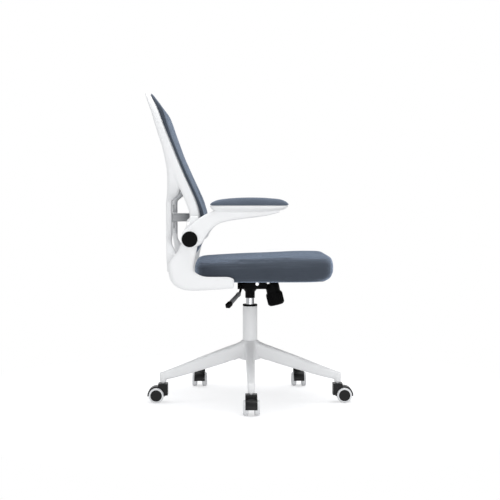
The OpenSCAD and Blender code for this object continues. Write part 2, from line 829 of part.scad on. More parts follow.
module seat_plate() {
  anchor = [knob_top_x - anchor_up * sin(spring_slope), knob_top_z + anchor_up * cos(spring_slope)];
  hole_d = eye_pin_d + 2 * eye_slack;
  cheek_d = hole_d + 2 * yoke_t;
  flange_y = mech_w / 2 + flange_gap;
  color(black_col)
    difference() {
      union() {
        translate([-plate_back, -plate_w / 2, plate_z]) cube([plate_len, plate_w, plate_t]);
        both_sides() {
          translate([tilt_x - flange_len / 2, flange_y, plate_z - flange_drop + ear_r])
            cube([flange_len, flange_t, flange_drop - ear_r]);
          translate([0, flange_y + flange_t, 0]) difference() {
            cross_rod(tilt_x, tilt_z, 3 * ear_r, 2 * flange_t);
            translate([tilt_x, flange_t / 2, tilt_z]) cube([4 * ear_r, flange_t, 4 * ear_r], center = true);
          }
          translate([anchor[0], eye_t / 2 + yoke_gap, anchor[1]])
            rotate([-90, 0, 0]) cylinder(d = cheek_d, h = yoke_t);
          translate([anchor[0] - cheek_d / 2, eye_t / 2 + yoke_gap, anchor[1]])
            cube([cheek_d, yoke_t, plate_z - anchor[1]]);
        }
      }
      cross_rod(tilt_x, tilt_z, tilt_pin_d + 2 * run_fit, mech_w * 2);
      cross_rod(anchor[0], anchor[1], hole_d, eye_pin_l);
      for (p = plate_bolt_places)
        translate([p[0], p[1], plate_z - cut])
          cylinder(d = frame_bolt_d + 2 * bolt_fit, h = plate_t + 2 * cut);
    }
}

module tension_screw() {
  color(steel_col) {
    on_spring_axis(-anchor_up) {
      cylinder(d = screw_d, h = anchor_up + screw_s);
      rotate([90, 0, 0]) cylinder(d = eye_d, h = eye_t, center = true);
      rotate([90, 0, 0]) cylinder(d = eye_pin_d, h = eye_pin_l, center = true);
    }
  }
}

module tension_spring() {
  r = spring_d / 2;
  wire_r = spring_wire_d / 2;
  s0 = barrel_wall - barrel_up + wire_r + seat_gap;
  s1 = knob_floor_s - spring_cup_t - wire_r - 2 * seat_gap;
  count = spring_turns * spring_steps;
  color(steel_col)
    on_spring_axis(0)
      skin([
        for (i = [0:count])
          let (a = 360 * i / spring_steps, z = s0 + (s1 - s0) * i / count)
            [
              for (j = [0:spring_sides - 1])
                let (b = -360 * j / spring_sides, q = r + wire_r * cos(b))
                  [q * cos(a), q * sin(a), z + wire_r * sin(b)]
            ]
      ]);
}

module spring_cup() {
  color(steel_col)
    on_spring_axis(knob_floor_s - spring_cup_t - seat_gap)
      difference() {
        cylinder(d = barrel_d - 2 * barrel_wall - 2 * cup_slack, h = spring_cup_t);
        translate([0, 0, -cut]) cylinder(d = screw_d + 2 * run_fit, h = spring_cup_t + 2 * cut);
      }
}

module tension_knob() {
  inner_r = knob_d / 2 - knob_wall;
  color(black_col)
    on_spring_axis(0)
      difference() {
        union() {
          rotate_extrude()
            polygon([
              [0, 0], [knob_d / 2, 0], [knob_d / 2, knob_h - knob_round],
              [knob_d / 2 - knob_round, knob_h], [0, knob_h + knob_round / 2]
            ]);
          for (i = [0:knob_ribs - 1])
            rotate([0, 0, 360 * i / knob_ribs])
              translate([knob_d / 2, 0, knob_round])
                cylinder(d = knob_rib_d, h = knob_h - 2.5 * knob_round, $fn = 6);
        }
        translate([0, 0, -cut]) cylinder(r = inner_r, h = knob_floor_s + cut);
        translate([0, 0, -cut])
          cylinder(d = screw_d + 2 * run_fit, h = cut + screw_s + knob_rise + seat_gap);
      }
}

// Height lever
module pointing(a, b) {
  v = b - a;
  translate(a) rotate([0, acos(v[2] / norm(v)), atan2(v[1], v[0])]) children();
}

module rod_between(a, b, d) {
  pointing(a, b) cylinder(d = d, h = norm(b - a));
}

module height_lever() {
  finger = [-lever_x, lock_y + finger_reach / 2];
  finger_z = cyl_top_z + pin_rise + seat_gap;
  color(black_col)
    difference() {
      union() {
        rod_between(lever_pts[0], lever_pts[1], lever_d);
        translate(lever_pts[1]) sphere(d = lever_d * knuckle_share);
        rod_between(lever_pts[1], lever_pts[2], lever_d);
        translate(lever_pts[2]) sphere(d = lever_d * knuckle_share);
        rod_between(lever_pts[2], grip_hold, lever_d);
        translate([lever_x, -mech_w / 2 - bush_gap, lever_z])
          rotate([90, 0, 0]) cylinder(d = bush_d, h = bush_l);
        translate([lever_x - lever_d / 4, -lock_y - lever_d / 2, lever_z])
          cube([lever_d / 2, lever_d, finger_z + finger_t - lever_z]);
        translate([lever_x, -lock_y, finger_z])
          rotate([0, 0, atan2(finger[1], finger[0])])
            translate([-lever_d / 4, -finger_w / 2, 0])
              cube([norm(finger) + lever_d / 2, finger_w, finger_t]);
      }
      translate([lever_x, -lock_y, lever_z])
        rotate([0, 90, 0]) cylinder(d = lock_pin_d + 2 * run_fit, h = 2 * lock_d, center = true);
    }
}

module lever_grip() {
  tip_l = grip_d * grip_tip_share;
  color(black_col)
    difference() {
      pointing(lever_pts[2], lever_pts[3]) {
        translate([0, 0, lever_d]) cylinder(d = grip_d, h = grip_l - lever_d - tip_l);
        translate([0, 0, grip_l - tip_l]) cylinder(d1 = grip_d, d2 = grip_d * grip_end_share, h = tip_l);
      }
      rod_between(lever_pts[2], grip_hold, lever_d);
    }
}

module lock_block() {
  color(black_col)
    translate([lever_x, -lock_y, lever_z]) {
      rotate([0, 90, 0]) cylinder(d = lock_pin_d, h = lock_d, center = true);
      for (s = [-1, 1])
        translate([s * (lock_d - lock_cheek) / 2, 0, (finger_drop - lever_d) / 4])
          cube([lock_cheek, lock_l, lever_d - finger_drop / 2], center = true);
    }
}

// Seat
module seat_board() {
  color(black_col)
    difference() {
      translate([seat_mid_x, 0, board_z])
        linear_extrude(board_t)
          polygon([
            for (i = [0:seat_steps - 1])
              oval_pt(board_len / 2, board_w / 2, board_power, 360 * i / seat_steps)
          ]);
      for (p = concat(plate_bolt_places, tab_bolt_places))
        translate([p[0], p[1], board_z - cut])
          cylinder(d = frame_bolt_d + 2 * bolt_fit, h = board_t + 2 * cut);
    }
}

module seat_cushion() {
  color(fabric_col)
    difference() {
      translate([seat_mid_x, 0, cushion_z])
        pillow(seat_len / 2, seat_w / 2, seat_t, seat_power, seat_layers_shares, seat_steps, seat_rise / 2);
      translate([seat_mid_x, 0, board_z - cut])
        linear_extrude(board_t + seat_gap + cut)
          polygon([
            for (i = [0:seat_steps - 1])
              oval_pt(board_len / 2 + seat_gap, board_w / 2 + seat_gap, board_power, 360 * i / seat_steps)
          ]);
    }
}

module frame_bolts() {
  side_seat = bracket_y + riser_t - head_sink;
  color(steel_col) {
    for (p = plate_bolt_places) translate([p[0], p[1], plate_z]) bolt(plate_bolt_l, frame_bolt_d);
    for (p = tab_bolt_places) translate([p[0], p[1], board_z - tab_t]) bolt(tab_bolt_l, frame_bolt_d);
    both_sides()
      for (p = side_bolts)
        translate([p[0], side_seat, p[1]])
          rotate([90, 0, 0]) bolt(side_seat - bracket_y + side_bolt_in, frame_bolt_d);
  }
}

// Side brackets, drawn for the left and mirrored
module bracket() {
  tab_z = board_z - tab_t;
  head_d = frame_bolt_d * bolt_head_share + 2 * bolt_fit;
  color(white_col)
    difference() {
      union() {
        side_plate(bracket_pts, bracket_y, riser_t);
        intersection() {
          side_plate(bracket_pts, bracket_y, foot_t);
          translate([-2 * bracket_len, 0, 0]) cube([3 * bracket_len, 2 * bracket_y, foot_cut_z]);
        }
        translate([tab_x0, tab_in_y, tab_z]) cube([tab_x1 - tab_x0, bracket_y - tab_in_y + cut, tab_t]);
        crosswise(pivot_x, bracket_y + riser_t - cut, hinge_z) cylinder(r = boss_r, h = arm_t + cut);
      }
      crosswise(pivot_x, arm_y + arm_t - cap_stub_l, hinge_z)
        cylinder(d = cap_stub_d + 2 * run_fit, h = cap_stub_l + cut);
      for (p = tab_bolt_places)
        translate([p[0], p[1], tab_z - cut]) cylinder(d = frame_bolt_d + 2 * bolt_fit, h = tab_t + 2 * cut);
      for (p = side_bolts) {
        crosswise(p[0], bracket_y - cut, p[1]) cylinder(d = frame_bolt_d + 2 * bolt_fit, h = riser_t);
        crosswise(p[0], bracket_y + riser_t - head_sink, p[1]) cylinder(d = head_d, h = foot_t);
      }
    }
}

module bracket_left() {
  bracket();
}

module bracket_right() {
  mirror([0, 1, 0]) bracket();
}

// Backrest
function ring_section(a) =
  let (
    o = oval_pt(back_w / 2, back_h / 2, back_power, a),
    q = oval_pt(back_w / 2 - rail_w, back_h / 2 - rail_w, back_power, a),
    m = [for (s = chamfer_shares) o + (q - o) * s],
    z = [for (p = m) back_mid_z + p[1]],
    f = [for (v = z) back_x(v)],
    d = [for (k = [0:3]) (f[k] - back_rear(z[k])) * ring_chamfer_share]
  )
  [
    [back_rear(z[0]) + d[0], m[0][0], z[0]], [back_rear(z[1]), m[1][0], z[1]],
    [back_rear(z[2]), m[2][0], z[2]], [back_rear(z[3]) + d[3], m[3][0], z[3]],
    [f[3] - d[3], m[3][0], z[3]], [f[2], m[2][0], z[2]], [f[1], m[1][0], z[1]],
    [f[0] - d[0], m[0][0], z[0]]
  ];

module back_frame() {
  color(white_col)
    difference() {
      union() {
        skin([for (i = [0:back_steps - 1]) ring_section(360 * i / back_steps)], looped = true);
        both_sides() {
          upright(upright_pts);
          for (p = side_bolts)
            translate([p[0] - foot_back, back_w / 2 - foot_sink, p[1] - foot_half_h])
              cube([foot_back + foot_front, bracket_y - back_w / 2 + foot_sink, 2 * foot_half_h]);
        }
      }
      both_sides() {
        for (p = side_bolts)
          crosswise(p[0], bracket_y - side_bolt_in - bolt_fit, p[1])
            cylinder(d = frame_bolt_d + 2 * bolt_fit, h = side_bolt_in + cut);
        translate([
          back_rear_x + (straight_depth - groove_w) / 2, straight_in - block_l,
          bar_z - lumbar_h / 2 - lumbar_travel - groove_room
        ])
          cube([groove_w, block_l + groove_d, lumbar_h + 2 * (lumbar_travel + groove_room)]);
      }
    }
}

module back_mesh() {
  hy = back_w / 2 - mesh_inset;
  hz = back_h / 2 - mesh_inset;
  color(fabric_col)
    skin([
      for (l = mesh_shares) [
        for (i = [0:mesh_steps - 1])
          let (
            p = oval_pt(hy * l[0], hz * l[0], mesh_power, 360 * i / mesh_steps),
            z = back_mid_z + p[1],
            t = mesh_t * l[1] * lookup(back_share(z), mesh_top_shares)
          )
          [back_x(z) + mesh_gap + t, p[0], z]
      ]
    ]);
}

module lumbar_bar() {
  z0 = bar_z - lumbar_h / 2;
  end_y = straight_in - tongue_slack;
  strap_x = back_rear_x + straight_depth - block_lead - lumbar_t;
  color(white_col) {
    both_sides() {
      translate([back_rear_x + block_lead, end_y - block_l, z0])
        cube([straight_depth - block_lead, block_l, lumbar_h]);
      translate([back_rear_x + (straight_depth - groove_w) / 2 + tongue_slack, end_y - cut, z0])
        cube([groove_w - 2 * tongue_slack, groove_d + cut, lumbar_h]);
    }
    skin([
      for (i = [0:lumbar_steps])
        let (
          u = 2 * i / lumbar_steps - 1,
          y = u * (end_y - block_l / 2),
          x = strap_x + lumbar_front * (1 - pow(abs(u), lumbar_bow))
        )
        [[x, y, z0 + lumbar_h], [x + lumbar_t, y, z0 + lumbar_h], [x + lumbar_t, y, z0], [x, y, z0]]
    ]);
  }
}

// Arms, drawn for the left and mirrored
module arm() {
  color(white_col)
    difference() {
      union() {
        side_plate(arm_pts, arm_y, arm_t);
        crosswise(pivot_x, arm_y, hinge_z) cylinder(r = hub_r, h = arm_t);
        hull()
          for (l = tray_layer_shares)
            translate([pad_mid_x, arm_mid_y, arm_top_z - l[2] * tray_depth])
              linear_extrude(tray_lip)
                polygon([
                  for (i = [0:tray_steps - 1])
                    oval_pt(pad_len / 2 * l[0], pad_w / 2 * l[1], tray_power, 360 * i / tray_steps)
                ]);
      }
      crosswise(pivot_x, arm_y - cut, hinge_z) cylinder(r = boss_r + run_fit, h = arm_t + 2 * cut);
    }
}

module arm_left() {
  arm();
}

module arm_right() {
  mirror([0, 1, 0]) arm();
}

module arm_pad() {
  color(fabric_col)
    translate([pad_mid_x, arm_mid_y, arm_top_z + seat_gap])
      pillow(pad_len / 2, pad_w / 2, pad_t, pad_power, pad_layers_shares, pad_steps);
}

module arm_pad_left() {
  arm_pad();
}

module arm_pad_right() {
  mirror([0, 1, 0]) arm_pad();
}

module pivot_caps() {
  face = arm_y + arm_t + seat_gap;
  color(black_col)
    both_sides()
      crosswise(pivot_x, face, hinge_z) {
        cylinder(r = cap_r, h = cap_t - cap_edge);
        translate([0, 0, cap_t - cap_edge]) cylinder(r1 = cap_r, r2 = cap_r - cap_edge, h = cap_edge);
        translate([0, 0, -cap_stub_l + cap_t]) cylinder(d = cap_stub_d, h = cap_stub_l - cap_t / 2);
      }
}

base_star();
caster_stems();
lift_outer_tube();
lift_collar();
piston_rod();
lift_cylinder();
release_pin();
mechanism_housing();
tilt_pin();
lock_block();
height_lever();
lever_grip();
tension_screw();
tension_spring();
spring_cup();
tension_knob();
seat_plate();
seat_board();
seat_cushion();
frame_bolts();
bracket_left();
bracket_right();
back_frame();
back_mesh();
lumbar_bar();
pivot_caps();
arm_left();
arm_right();
arm_pad_left();
arm_pad_right();
caster_hood(1);  // caster_hood_1
caster_axle(1);  // caster_axle_1
wheel(1, 1);  // wheel_1a
wheel_disc(1, 1);  // wheel_disc_1a
wheel(1, -1);  // wheel_1b
wheel_disc(1, -1);  // wheel_disc_1b
caster_hood(2);  // caster_hood_2
caster_axle(2);  // caster_axle_2
wheel(2, 1);  // wheel_2a
wheel_disc(2, 1);  // wheel_disc_2a
wheel(2, -1);  // wheel_2b
wheel_disc(2, -1);  // wheel_disc_2b
caster_hood(3);  // caster_hood_3
caster_axle(3);  // caster_axle_3
wheel(3, 1);  // wheel_3a
wheel_disc(3, 1);  // wheel_disc_3a
wheel(3, -1);  // wheel_3b
wheel_disc(3, -1);  // wheel_disc_3b
caster_hood(4);  // caster_hood_4
caster_axle(4);  // caster_axle_4
wheel(4, 1);  // wheel_4a
wheel_disc(4, 1);  // wheel_disc_4a
wheel(4, -1);  // wheel_4b
wheel_disc(4, -1);  // wheel_disc_4b
caster_hood(5);  // caster_hood_5
caster_axle(5);  // caster_axle_5
wheel(5, 1);  // wheel_5a
wheel_disc(5, 1);  // wheel_disc_5a
wheel(5, -1);  // wheel_5b
wheel_disc(5, -1);  // wheel_disc_5b
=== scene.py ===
"""Office chair: looks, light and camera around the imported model. Metres, +Z up, chair facing +X."""

import json
import math

import bmesh
import bpy
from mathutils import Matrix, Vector, noise


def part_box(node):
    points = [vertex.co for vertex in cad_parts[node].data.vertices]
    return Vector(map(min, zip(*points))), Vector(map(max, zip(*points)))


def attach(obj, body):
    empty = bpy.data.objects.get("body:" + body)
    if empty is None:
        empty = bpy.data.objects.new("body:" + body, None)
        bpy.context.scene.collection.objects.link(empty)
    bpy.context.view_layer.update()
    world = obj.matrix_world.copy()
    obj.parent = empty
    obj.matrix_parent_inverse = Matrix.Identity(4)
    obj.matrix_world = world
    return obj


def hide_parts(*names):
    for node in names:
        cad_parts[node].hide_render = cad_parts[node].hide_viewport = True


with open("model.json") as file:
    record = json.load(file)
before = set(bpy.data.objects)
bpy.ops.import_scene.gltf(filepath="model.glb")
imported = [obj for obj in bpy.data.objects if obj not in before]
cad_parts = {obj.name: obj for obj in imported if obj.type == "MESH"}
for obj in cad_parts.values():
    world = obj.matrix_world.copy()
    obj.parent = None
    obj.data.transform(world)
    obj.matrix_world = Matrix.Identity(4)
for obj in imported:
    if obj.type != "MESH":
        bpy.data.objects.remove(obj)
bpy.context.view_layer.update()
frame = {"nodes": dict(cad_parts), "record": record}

# Colours, linear
WHITE_NYLON = (0.82, 0.823, 0.83, 1)
TREAD_WHITE = (0.74, 0.745, 0.76, 1)
MOULDED_BLACK = (0.0028, 0.0028, 0.0030, 1)
HOOD_BLACK = (0.005, 0.005, 0.0055, 1)
POWDER_BLACK = (0.0025, 0.0025, 0.0028, 1)
# Lever sleeve: black plastic, its sheen painted in as a grey colour
SLEEVE_PAINTED_SHEEN_GREY = (0.140, 0.142, 0.148, 1)
ZINC = (0.62, 0.63, 0.65, 1)
CHROME = (0.42, 0.425, 0.44, 1)
# Seat board: birch plywood coloured near black
NEAR_BLACK_BIRCH = (0.020, 0.018, 0.017, 1)
YARN_LIGHT = (0.098, 0.117, 0.148, 1)
YARN_DARK = (0.047, 0.058, 0.078, 1)
SHEEN_BLUE = (0.62, 0.76, 1.0, 1)
PAPER_WHITE = (1.0, 1.0, 1.0, 1)
FLOOR_GREY = (0.80, 0.80, 0.80, 1)
FLOOR_SHADOW_SHARE = (0.62, 0.62, 0.63, 1)

# The photograph's view
CAMERA_PLACE = (-0.046, -3.700, 0.668)
CAMERA_YAW = 0.71
CAMERA_PITCH = 2.49
CAMERA_LENS = 77.7


# Shader groups

def start_group(name, inputs, outputs):
    """A node group with named number inputs and outputs, and its two end nodes."""
    group = bpy.data.node_groups.new(name, "ShaderNodeTree")
    for label, kind, value in inputs:
        socket = group.interface.new_socket(label, in_out="INPUT", socket_type=kind)
        socket.default_value = value
    for label, kind in outputs:
        group.interface.new_socket(label, in_out="OUTPUT", socket_type=kind)
    return group, group.nodes.new("NodeGroupInput"), group.nodes.new("NodeGroupOutput")


def maths(tree, operation, first, second=None):
    """One Math node. Numbers are set on its sockets and sockets are linked."""
    node = tree.nodes.new("ShaderNodeMath")
    node.operation = operation
    for socket, value in zip(node.inputs, (first, second)):
        if value is None:
            continue
        if isinstance(value, (int, float)):
            socket.default_value = value
        else:
            tree.links.new(value, socket)
    return node.outputs[0]


def place_in_metres(tree):
    """The point's place in the chair's own metres."""
    return tree.nodes.new("ShaderNodeTexCoord").outputs["Object"]


def noise_value(tree, vector, scale, detail=2.0):
    node = tree.nodes.new("ShaderNodeTexNoise")
    node.inputs["Detail"].default_value = detail
    tree.links.new(vector, node.inputs["Vector"])
    if isinstance(scale, (int, float)):
        node.inputs["Scale"].default_value = scale
    else:
        tree.links.new(scale, node.inputs["Scale"])
    return node.outputs["Fac"]


def build_woven_cloth():
    """Plain weave on every side of a piece: thread height, and how light each thread is, with painted shade,
    lighter on the raised threads and darker in the dips between them.
    """
    group, start, end = start_group(
        "Woven cloth",
        [("Pitch", "NodeSocketFloat", 0.0016), ("Heather", "NodeSocketFloat", 0.5),
         ("Painted thread shade", "NodeSocketFloat", 1.0)],
        [("Height", "NodeSocketFloat"), ("Shade", "NodeSocketFloat")])
    place = place_in_metres(group)
    split = group.nodes.new("ShaderNodeSeparateXYZ")
    group.links.new(place, split.inputs[0])
    turns = maths(group, "DIVIDE", math.tau / 2, start.outputs["Pitch"])
    sines = [maths(group, "SINE", maths(group, "MULTIPLY", split.outputs[k], turns)) for k in range(3)]
    facing = group.nodes.new("ShaderNodeSeparateXYZ")
    group.links.new(group.nodes.new("ShaderNodeNewGeometry").outputs["Normal"], facing.inputs[0])
    height = None
    for k in range(3):
        threads = maths(group, "MULTIPLY", sines[(k + 1) % 3], sines[(k + 2) % 3])
        weight = maths(group, "POWER", maths(group, "ABSOLUTE", facing.outputs[k]), 2.0)
        side = maths(group, "MULTIPLY", threads, weight)
        height = side if height is None else maths(group, "ADD", height, side)
    group.links.new(height, end.inputs["Height"])
    stretch = group.nodes.new("ShaderNodeMapping")
    stretch.inputs["Scale"].default_value = (1.0, 1.0, 5.0)
    group.links.new(place, stretch.inputs["Vector"])
    flecks = noise_value(group, stretch.outputs[0], 260.0, 3.0)
    clouds = noise_value(group, place, 14.0, 2.0)
    spread = maths(group, "MULTIPLY", maths(group, "SUBTRACT", flecks, 0.5), start.outputs["Heather"])
    broad = maths(group, "MULTIPLY", maths(group, "SUBTRACT", clouds, 0.5), 0.5)
    # Painted shade: colour follows the thread height, lighter on raised threads and darker in the dips
    thread_painted_shade = maths(group, "MULTIPLY", maths(group, "MULTIPLY", height, 0.35), start.outputs["Painted thread shade"])
    total = maths(group, "ADD", maths(group, "ADD", maths(group, "ADD", spread, broad), thread_painted_shade), 0.5)
    group.links.new(maths(group, "MINIMUM", maths(group, "MAXIMUM", total, 0.0), 1.0), end.inputs["Shade"])
    return group


def build_moulded_skin():
    """Fine grain of moulded plastic or powder paint, and faint handling marks."""
    group, start, end = start_group(
        "Moulded skin",
        [("Grain size", "NodeSocketFloat", 0.0008), ("Marks", "NodeSocketFloat", 0.3)],
        [("Height", "NodeSocketFloat"), ("Marks", "NodeSocketFloat")])
    place = place_in_metres(group)
    scale = maths(group, "DIVIDE", 1.0, start.outputs["Grain size"])
    group.links.new(noise_value(group, place, scale, 2.0), end.inputs["Height"])
    clouds = noise_value(group, place, 22.0, 4.0)
    marks = maths(group, "MULTIPLY", maths(group, "SUBTRACT", clouds, 0.5), start.outputs["Marks"])
    group.links.new(maths(group, "ADD", marks, 0.5), end.inputs["Marks"])
    return group


WOVEN_CLOTH = build_woven_cloth()
MOULDED_SKIN = build_moulded_skin()


# Materials

def blank_material(name, colour, roughness, **fixed):
    """A Principled material whose constant values sit on the shader's own sockets."""
    material = bpy.data.materials.new(name)
    material.use_nodes = True
    tree = material.node_tree
    shader = tree.nodes["Principled BSDF"]
    shader.inputs["Base Color"].default_value = colour
    shader.inputs["Roughness"].default_value = roughness
    for socket, value in fixed.items():
        shader.inputs[socket.replace("_", " ")].default_value = value
    return material, tree, shader


def colour_between(tree, shader, factor, dark, light):
    mix = tree.nodes.new("ShaderNodeMix")
    mix.data_type = "RGBA"
    sockets = {socket.identifier: socket for socket in mix.inputs}
    sockets["A_Color"].default_value = dark
    sockets["B_Color"].default_value = light
    tree.links.new(factor, sockets["Factor_Float"])
    result = next(socket for socket in mix.outputs if socket.identifier == "Result_Color")
    tree.links.new(result, shader.inputs["Base Color"])


def relief(tree, shader, height, strength, depth):
    bump = tree.nodes.new("ShaderNodeBump")
    bump.inputs["Strength"].default_value = strength
    bump.inputs["Distance"].default_value = depth
    tree.links.new(height, bump.inputs["Height"])
    tree.links.new(bump.outputs["Normal"], shader.inputs["Normal"])


def shaded(colour, share):
    return tuple(c * share for c in colour[:3]) + (1,)


def moulded(name, colour, roughness, grain, strength, marks=0.3, spread=0.06, **fixed):
    """Moulded, painted or plated surface with its own grain and faint marks."""
    material, tree, shader = blank_material(name, colour, roughness, **fixed)
    skin = tree.nodes.new("ShaderNodeGroup")
    skin.node_tree = MOULDED_SKIN
    skin.inputs["Grain size"].default_value = grain
    skin.inputs["Marks"].default_value = marks
    dark, light = shaded(colour, 1 - spread), shaded(colour, 1 + spread)
    colour_between(tree, shader, skin.outputs["Marks"], dark, light)
    rough = maths(tree, "ADD", maths(tree, "MULTIPLY", skin.outputs["Marks"], 0.16), roughness - 0.08)
    tree.links.new(rough, shader.inputs["Roughness"])
    relief(tree, shader, skin.outputs["Height"], strength, 0.0003)
    return material


def cloth(name, pitch, heather, crease_scale, crease_depth, stretch, sheen, lightness=1.0):
    """Knitted or woven upholstery: threads, flecked yarn, and shallow creases along its run."""
    material, tree, shader = blank_material(
        name, YARN_LIGHT, 0.92, Sheen_Weight=sheen, Sheen_Roughness=0.35, Sheen_Tint=SHEEN_BLUE,
        Specular_IOR_Level=0.20)
    weave = tree.nodes.new("ShaderNodeGroup")
    weave.node_tree = WOVEN_CLOTH
    weave.inputs["Pitch"].default_value = pitch
    weave.inputs["Heather"].default_value = heather
    dark, light = shaded(YARN_DARK, lightness), shaded(YARN_LIGHT, lightness)
    colour_between(tree, shader, weave.outputs["Shade"], dark, light)
    run = tree.nodes.new("ShaderNodeMapping")
    run.inputs["Scale"].default_value = stretch
    tree.links.new(place_in_metres(tree), run.inputs["Vector"])
    creases = noise_value(tree, run.outputs[0], crease_scale, 3.0)
    threads = maths(tree, "MULTIPLY", weave.outputs["Height"], 0.00025)
    folds = maths(tree, "MULTIPLY", creases, crease_depth)
    relief(tree, shader, maths(tree, "ADD", threads, folds), 1.0, 1.0)
    return material


MATERIALS = {
    "white_plastic": moulded("White moulded nylon", WHITE_NYLON, 0.45, 0.0009, 0.02),
    "white_nylon": moulded("White wheel tread", TREAD_WHITE, 0.35, 0.0012, 0.05, marks=0.6),
    "black_plastic": moulded("Black grained plastic", MOULDED_BLACK, 0.52, 0.0007, 0.12, spread=0.2,
                              Specular_IOR_Level=0.05),
    "zinc_steel": moulded("Bright zinc steel", ZINC, 0.30, 0.0006, 0.10, spread=0.12, Metallic=1.0),
    "chrome_tube": moulded("Polished cylinder", CHROME, 0.16, 0.0020, 0.02, spread=0.04, Metallic=1.0),
    "black_steel": moulded("Black powder paint", POWDER_BLACK, 0.50, 0.0010, 0.15, spread=0.2,
                            Specular_IOR_Level=0.05),
    # Seat board plywood, coloured near black
    "plywood": moulded("Near-black birch plywood", NEAR_BLACK_BIRCH, 0.70, 0.0030, 0.40, marks=1.2, spread=0.25),
    "seat_fabric": cloth("Cushion cloth", 0.0018, 0.55, 30.0, 0.0030, (0.25, 0.25, 4.5), 0.95, 0.72),
    "back_fabric": cloth("Back spacer cloth", 0.0030, 0.45, 22.0, 0.0008, (1.0, 1.0, 1.0), 0.42, 0.74),
    "pad_fabric": cloth("Arm pad cloth", 0.0016, 0.50, 40.0, 0.0006, (1.0, 1.0, 1.0), 0.45, 1.40),
}
# Lever sleeve: painted grey sheen on black plastic
SLEEVE_PAINTED_SHEEN_MATERIAL = moulded("Black grip with painted grey sheen", SLEEVE_PAINTED_SHEEN_GREY, 0.55, 0.0007, 0.15, spread=0.15)
HOOD_MATERIAL = moulded("Satin black hood", HOOD_BLACK, 0.36, 0.0007, 0.08, spread=0.15,
                        Specular_IOR_Level=0.20)
SLOT_OF = {row["node"]: row["material_slot"] for row in frame["record"]["subparts"]}


def dress(piece, slot):
    """Gives a piece the finish of one material slot."""
    piece.data.materials.clear()
    piece.data.materials.append(MATERIALS[slot])


for node, piece in frame["nodes"].items():
    dress(piece, SLOT_OF[node])
    if node.startswith(("caster_hood", "wheel_disc")):
        piece.data.materials[0] = HOOD_MATERIAL


# Shapes

ALONG_X, ALONG_Y, ALONG_Z = Vector((1, 0, 0)), Vector((0, 1, 0)), Vector((0, 0, 1))


def line_through(points, steps, closed=False):
    """Smooth line through points of any dimension, steps stretches between each two."""
    count = len(points)
    out = []
    spans = count if closed else count - 1
    for i in range(spans):
        if closed:
            a, b, c, d = (Vector(points[(i + k) % count]) for k in (-1, 0, 1, 2))
        else:
            a, b, c, d = (Vector(points[min(max(i + k, 0), count - 1)]) for k in (-1, 0, 1, 2))
        for j in range(steps):
            t = j / steps
            out.append(0.5 * (2 * b + (c - a) * t + (2 * a - 5 * b + 4 * c - d) * t * t
                              + (3 * b - 3 * c + d - a) * t ** 3))
    if not closed:
        out.append(Vector(points[-1]))
    return out


def at_height(table, z):
    """Smooth value at z from rows of (z, value)."""
    if z <= table[0][0]:
        return table[0][1]
    for k in range(len(table) - 1):
        z0, v0 = table[k]
        z1, v1 = table[k + 1]
        if z <= z1:
            before = table[max(k - 1, 0)]
            after = table[min(k + 2, len(table) - 1)]
            slope0 = (v1 - before[1]) / (z1 - before[0])
            slope1 = (after[1] - v0) / (after[0] - z0)
            h = z1 - z0
            t = (z - z0) / h
            return ((2 * t ** 3 - 3 * t * t + 1) * v0 + (t ** 3 - 2 * t * t + t) * h * slope0
                    + (3 * t * t - 2 * t ** 3) * v1 + (t ** 3 - t * t) * h * slope1)
    return table[-1][1]


def squircle(half_a, half_b, power, angle):
    c, s = math.cos(angle), math.sin(angle)
    r = ((abs(c) / half_a) ** power + (abs(s) / half_b) ** power) ** (-1 / power)
    return r * c, r * s


def skin(rings, looped=False):
    """Vertices and faces over rings of equal length; ends are closed unless the rings loop."""
    n, m = len(rings[0]), len(rings)
    points = [Vector(p) for ring in rings for p in ring]
    faces = []
    for i in range(m if looped else m - 1):
        k = (i + 1) % m
        for j in range(n):
            q = (j + 1) % n
            faces.append((i * n + j, i * n + q, k * n + q, k * n + j))
    if not looped:
        faces.append(tuple(reversed(range(n))))
        faces.append(tuple(range((m - 1) * n, m * n)))
    return points, faces


def new_piece(name, parts, slot):
    """One smooth-shaded object from several closed skins."""
    mesh = bpy.data.meshes.new(name)
    body = bmesh.new()
    for points, faces in parts:
        verts = [body.verts.new(p) for p in points]
        for face in faces:
            body.faces.new([verts[k] for k in face])
    bmesh.ops.recalc_face_normals(body, faces=body.faces)
    body.to_mesh(mesh)
    body.free()
    piece = bpy.data.objects.new(name, mesh)
    bpy.context.scene.collection.objects.link(piece)
    mesh.shade_smooth()
    dress(piece, slot)
    return piece


def apply_modifiers(piece):
    """Leaves the piece with the mesh that its modifiers give."""
    graph = bpy.context.evaluated_depsgraph_get()
    made = bpy.data.meshes.new_from_object(piece.evaluated_get(graph))
    old = piece.data
    piece.modifiers.clear()
    piece.data = made
    bpy.data.meshes.remove(old)
    made.shade_smooth()


def fuse(piece, voxel, rounds, slot):
    """Joins a piece's skins into one moulding with soft inner corners."""
    remesh = piece.modifiers.new("fuse", "REMESH")
    remesh.mode = "VOXEL"
    remesh.voxel_size = voxel
    soften = piece.modifiers.new("soften", "SMOOTH")
    soften.factor = 0.5
    soften.iterations = rounds
    apply_modifiers(piece)
    dress(piece, slot)


def cut_away(piece, parts, slot):
    """Takes closed skins out of a piece."""
    cutter = new_piece("cutter", parts, slot)
    cut = piece.modifiers.new("cut", "BOOLEAN")
    cut.operation = "DIFFERENCE"
    cut.solver = "EXACT"
    cut.use_self = True
    cut.object = cutter
    apply_modifiers(piece)
    dress(piece, slot)
    bpy.data.objects.remove(cutter)


def block_skin(low, high):
    rings = []
    for z in (low.z, high.z):
        rings.append([Vector((x, y, z)) for x, y in (
            (low.x, low.y), (high.x, low.y), (high.x, high.y), (low.x, high.y))])
    return skin(rings)


def round_box(centre, half_a, half_b, axis_a, axis_b, power=5.0, count=20):
    """Ring of a rounded rectangle about a centre in the plane of two axes."""
    ring = []
    for k in range(count):
        a, b = squircle(half_a, half_b, power, math.tau * (k + 0.5) / count)
        ring.append(centre + axis_a * a + axis_b * b)
    return ring


